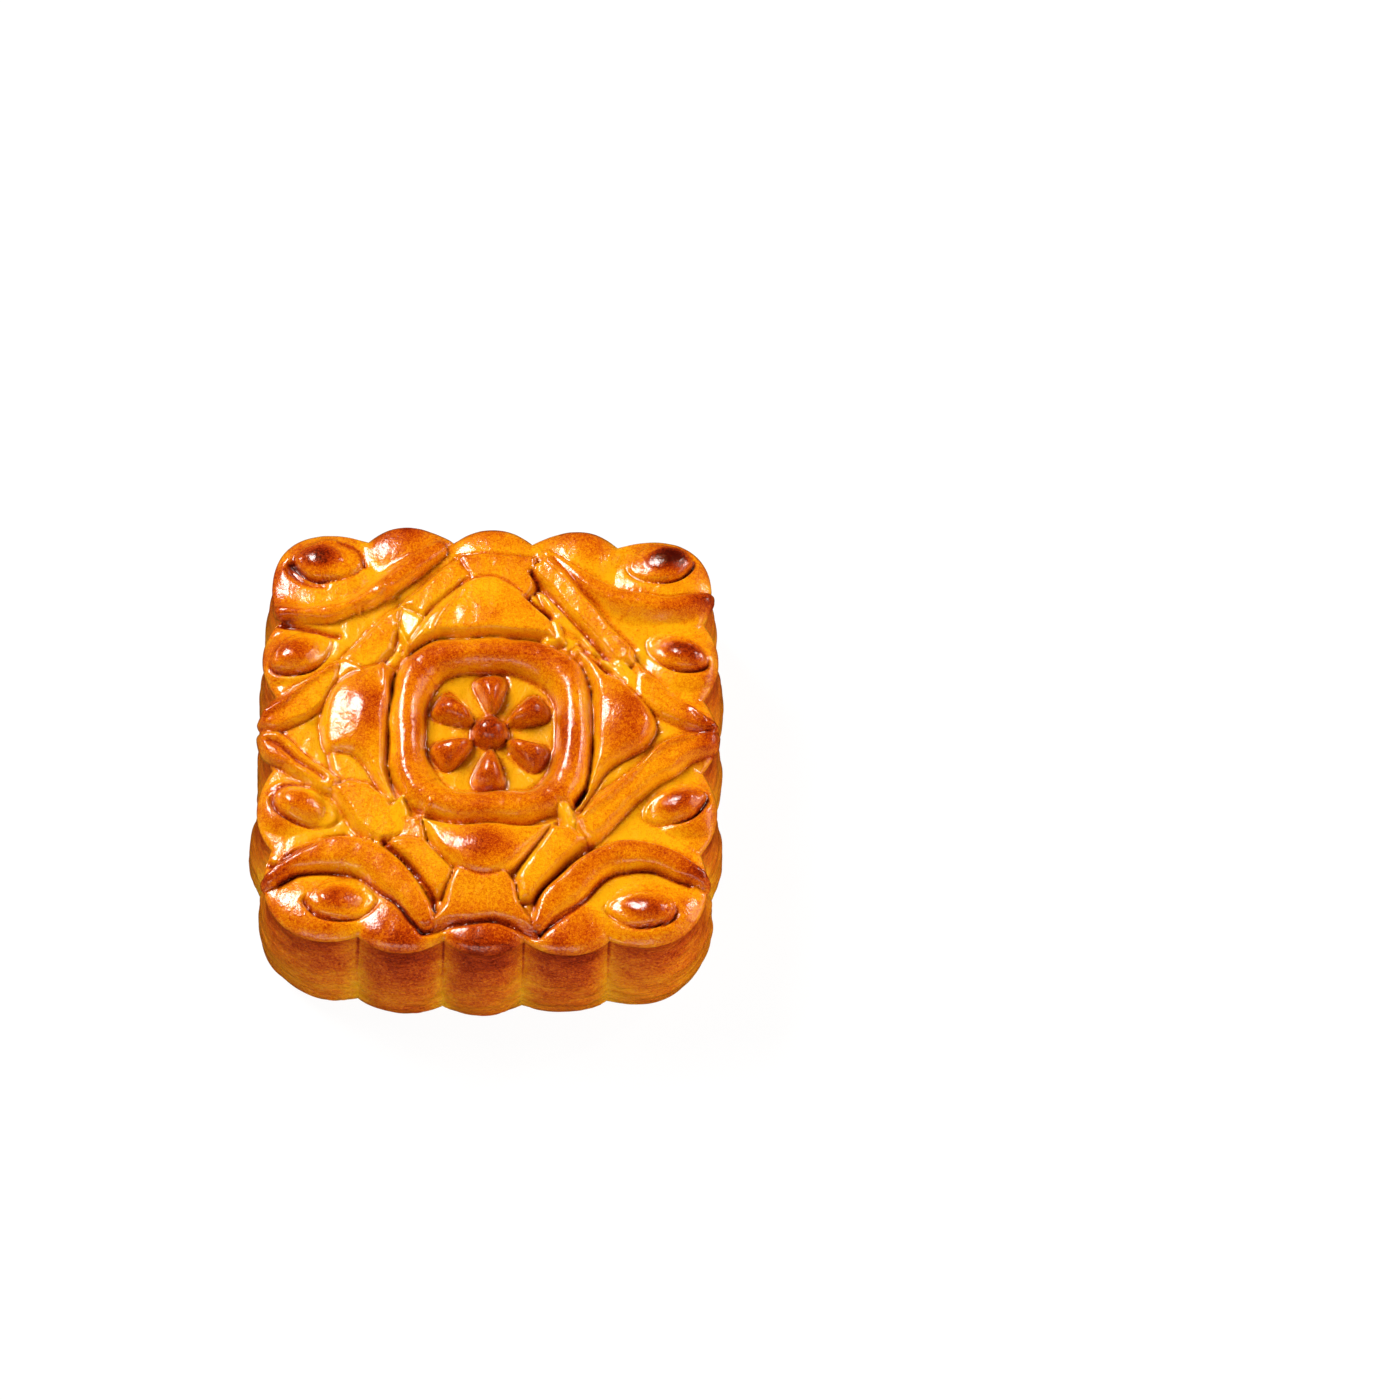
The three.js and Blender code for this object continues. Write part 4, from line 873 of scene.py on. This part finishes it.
# The streaks are only on the wall. The top is lighter by half of their share.
shade = plus_share(blotches.outputs["Fac"], BLOTCH_SHARE, browning_and_shade)
shade = plus_share(pits.outputs["Fac"], PIT_SHARE, shade)
shade = plus_share(grain.outputs["Fac"], GRAIN_SHARE, shade)
shade = plus_share(masked.outputs[0], STREAK_SHARE, shade)
ramp = node(baked, "ShaderNodeValToRGB", [("Fac", shade)])
stops = ramp.color_ramp.elements
for number, (stop_place, colour) in enumerate(BAKED_COLOURS):
    stop = stops[number] if number < 2 else stops.new(stop_place)
    stop.position = stop_place
    stop.color = linear(colour)
# The wash levels out the grain, so its gloss follows only the pits, the dimples and the streaks.
pit_bump = node(baked, "ShaderNodeBump", [("Height", pits.outputs["Fac"])],
                Strength=1.0, Distance=PIT_DEPTH * MM)
dimple_bump = node(baked, "ShaderNodeBump",
                   [("Height", dimples.outputs["Fac"]), ("Normal", pit_bump.outputs["Normal"])],
                   Strength=1.0, Distance=DIMPLE_DEPTH * MM)
wash_bump = node(baked, "ShaderNodeBump",
                 [("Height", masked.outputs[0]), ("Normal", dimple_bump.outputs["Normal"])],
                 Strength=1.0, Distance=STREAK_DEPTH * MM)
crumb_bump = node(baked, "ShaderNodeBump",
                  [("Height", grain.outputs["Fac"]), ("Normal", wash_bump.outputs["Normal"])],
                  Strength=1.0, Distance=GRAIN_DEPTH * MM)
# The base is greasy dough, and the coat is the yolk.
shader = node(baked, "ShaderNodeBsdfPrincipled",
              [("Base Color", ramp.outputs["Color"]), ("Normal", crumb_bump.outputs["Normal"]),
               ("Coat Normal", wash_bump.outputs["Normal"])],
              Roughness=0.32, IOR=1.38, Specular_Tint=linear("#FF9838"),
              Coat_Weight=1.0, Coat_Roughness=0.15, Coat_IOR=1.5)
node(baked, "ShaderNodeOutputMaterial", [("Surface", shader.outputs["BSDF"])])
mesh.materials.append(baked)
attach(crust, "root")
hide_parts("mooncake")

# ---- The table and the light -----------------------------------------------------------
# The cake lies on a white sheet that is lit from behind, so its shadow is faint. The crust mirrors the
# lamps and not the sheet.
SHEET_HALF = 3.0
SHEET_GLOW = 0.95
SHEET_CORNERS = ((-1, -1), (1, -1), (1, 1), (-1, 1))
sheet_places = [(SHEET_HALF * x, SHEET_HALF * y, 0) for x, y in SHEET_CORNERS]
sheet_mesh = bpy.data.meshes.new("sweep")
sheet_mesh.from_pydata(sheet_places, [], [(0, 1, 2, 3)])
sheet = bpy.data.objects.new("sweep", sheet_mesh)
bpy.context.scene.collection.objects.link(sheet)
backlit = bpy.data.materials.new("backlit_sheet")
backlit.use_nodes = True
paper = backlit.node_tree.nodes["Principled BSDF"]
paper.inputs["Base Color"].default_value = linear("#484848")
paper.inputs["Roughness"].default_value = 1.0
paper.inputs["Specular IOR Level"].default_value = 0.0
paper.inputs["Emission Color"].default_value = linear("#FFFFFF")
paper.inputs["Emission Strength"].default_value = SHEET_GLOW
sheet_mesh.materials.append(backlit)
sheet.visible_glossy = False

# A softbox at the left back is the main light, and a small lamp beside it puts sparks on the ridges. A
# narrow strip and two dim cards shine low from the right and the front. Two wide fills lift the shadows
# there, and the gloss doesn't mirror them.
# Name, place in metres, width and height, power in watts, colour, and whether the gloss mirrors it.
CAKE_MIDDLE = Vector((0, 0, 0.015))
LAMPS = (
    ("left_softbox", (-0.5, 0.38, 0.7), (0.36, 0.36), 11.8, "#FFFFFF", True),
    ("left_spark", (-0.46, 0.12, 0.7), (0.05, 0.05), 0.7, "#FFFFFF", True),
    ("right_strip", (0.6, 0.3, 0.38), (0.06, 0.26), 1.2, "#FFFFFF", True),
    ("right_card", (0.75, 0.1, 0.3), (0.6, 0.5), 1.6, "#FFF6EA", True),
    ("right_fill", (0.8, -0.1, 0.25), (0.8, 0.5), 5.6, "#FFF4E4", False),
    ("front_card", (-0.15, -0.9, 0.16), (0.9, 0.2), 1.7, "#FFF6F0", True),
    ("front_fill", (0.0, -0.9, 0.3), (1.6, 0.8), 5.0, "#FFF4E4", False),
)
for name, lamp_place, size, power, colour, mirrored in LAMPS:
    light = bpy.data.lights.new(name, "AREA")
    light.shape = "RECTANGLE"
    light.size, light.size_y = size
    light.energy = power
    light.color = linear(colour)[:3]
    lamp = bpy.data.objects.new(name, light)
    lamp.location = lamp_place
    lamp.rotation_euler = (CAKE_MIDDLE - Vector(lamp_place)).to_track_quat("-Z", "Y").to_euler()
    lamp.visible_glossy = mirrored
    bpy.context.scene.collection.objects.link(lamp)

WORLD_GLOW = 0.025
world = bpy.data.worlds.new("studio")
bpy.context.scene.world = world
world.use_nodes = True
world.node_tree.nodes["Background"].inputs["Color"].default_value = linear("#FFB060")
world.node_tree.nodes["Background"].inputs["Strength"].default_value = WORLD_GLOW
bpy.context.scene.view_settings.view_transform = "Standard"

# ---- The camera ------------------------------------------------------------------------
# It looks down from the front through a long lens, aimed past the cake to set it left of the centre and
# a little below it.
LENS = 178.8
SENSOR_WIDTH = 36.0
CAMERA_DISTANCE = 1.1
CAMERA_ELEVATION = math.radians(66)
CAMERA_AZIMUTH = math.radians(1.2)
TURN_RIGHT = math.radians(1.755)
TILT_UP = math.radians(0.56)
camera_data = bpy.data.cameras.new("camera")
camera_data.lens = LENS
camera_data.sensor_width = SENSOR_WIDTH
camera = bpy.data.objects.new("camera", camera_data)
back = Vector((math.sin(CAMERA_AZIMUTH) * math.cos(CAMERA_ELEVATION),
               -math.cos(CAMERA_AZIMUTH) * math.cos(CAMERA_ELEVATION), math.sin(CAMERA_ELEVATION)))
camera.location = CAKE_MIDDLE + back * CAMERA_DISTANCE
facing = (-back).to_track_quat("-Z", "Y") @ Euler((TILT_UP, -TURN_RIGHT, 0)).to_quaternion()
camera.rotation_euler = facing.to_euler()
bpy.context.scene.collection.objects.link(camera)
bpy.context.scene.camera = camera
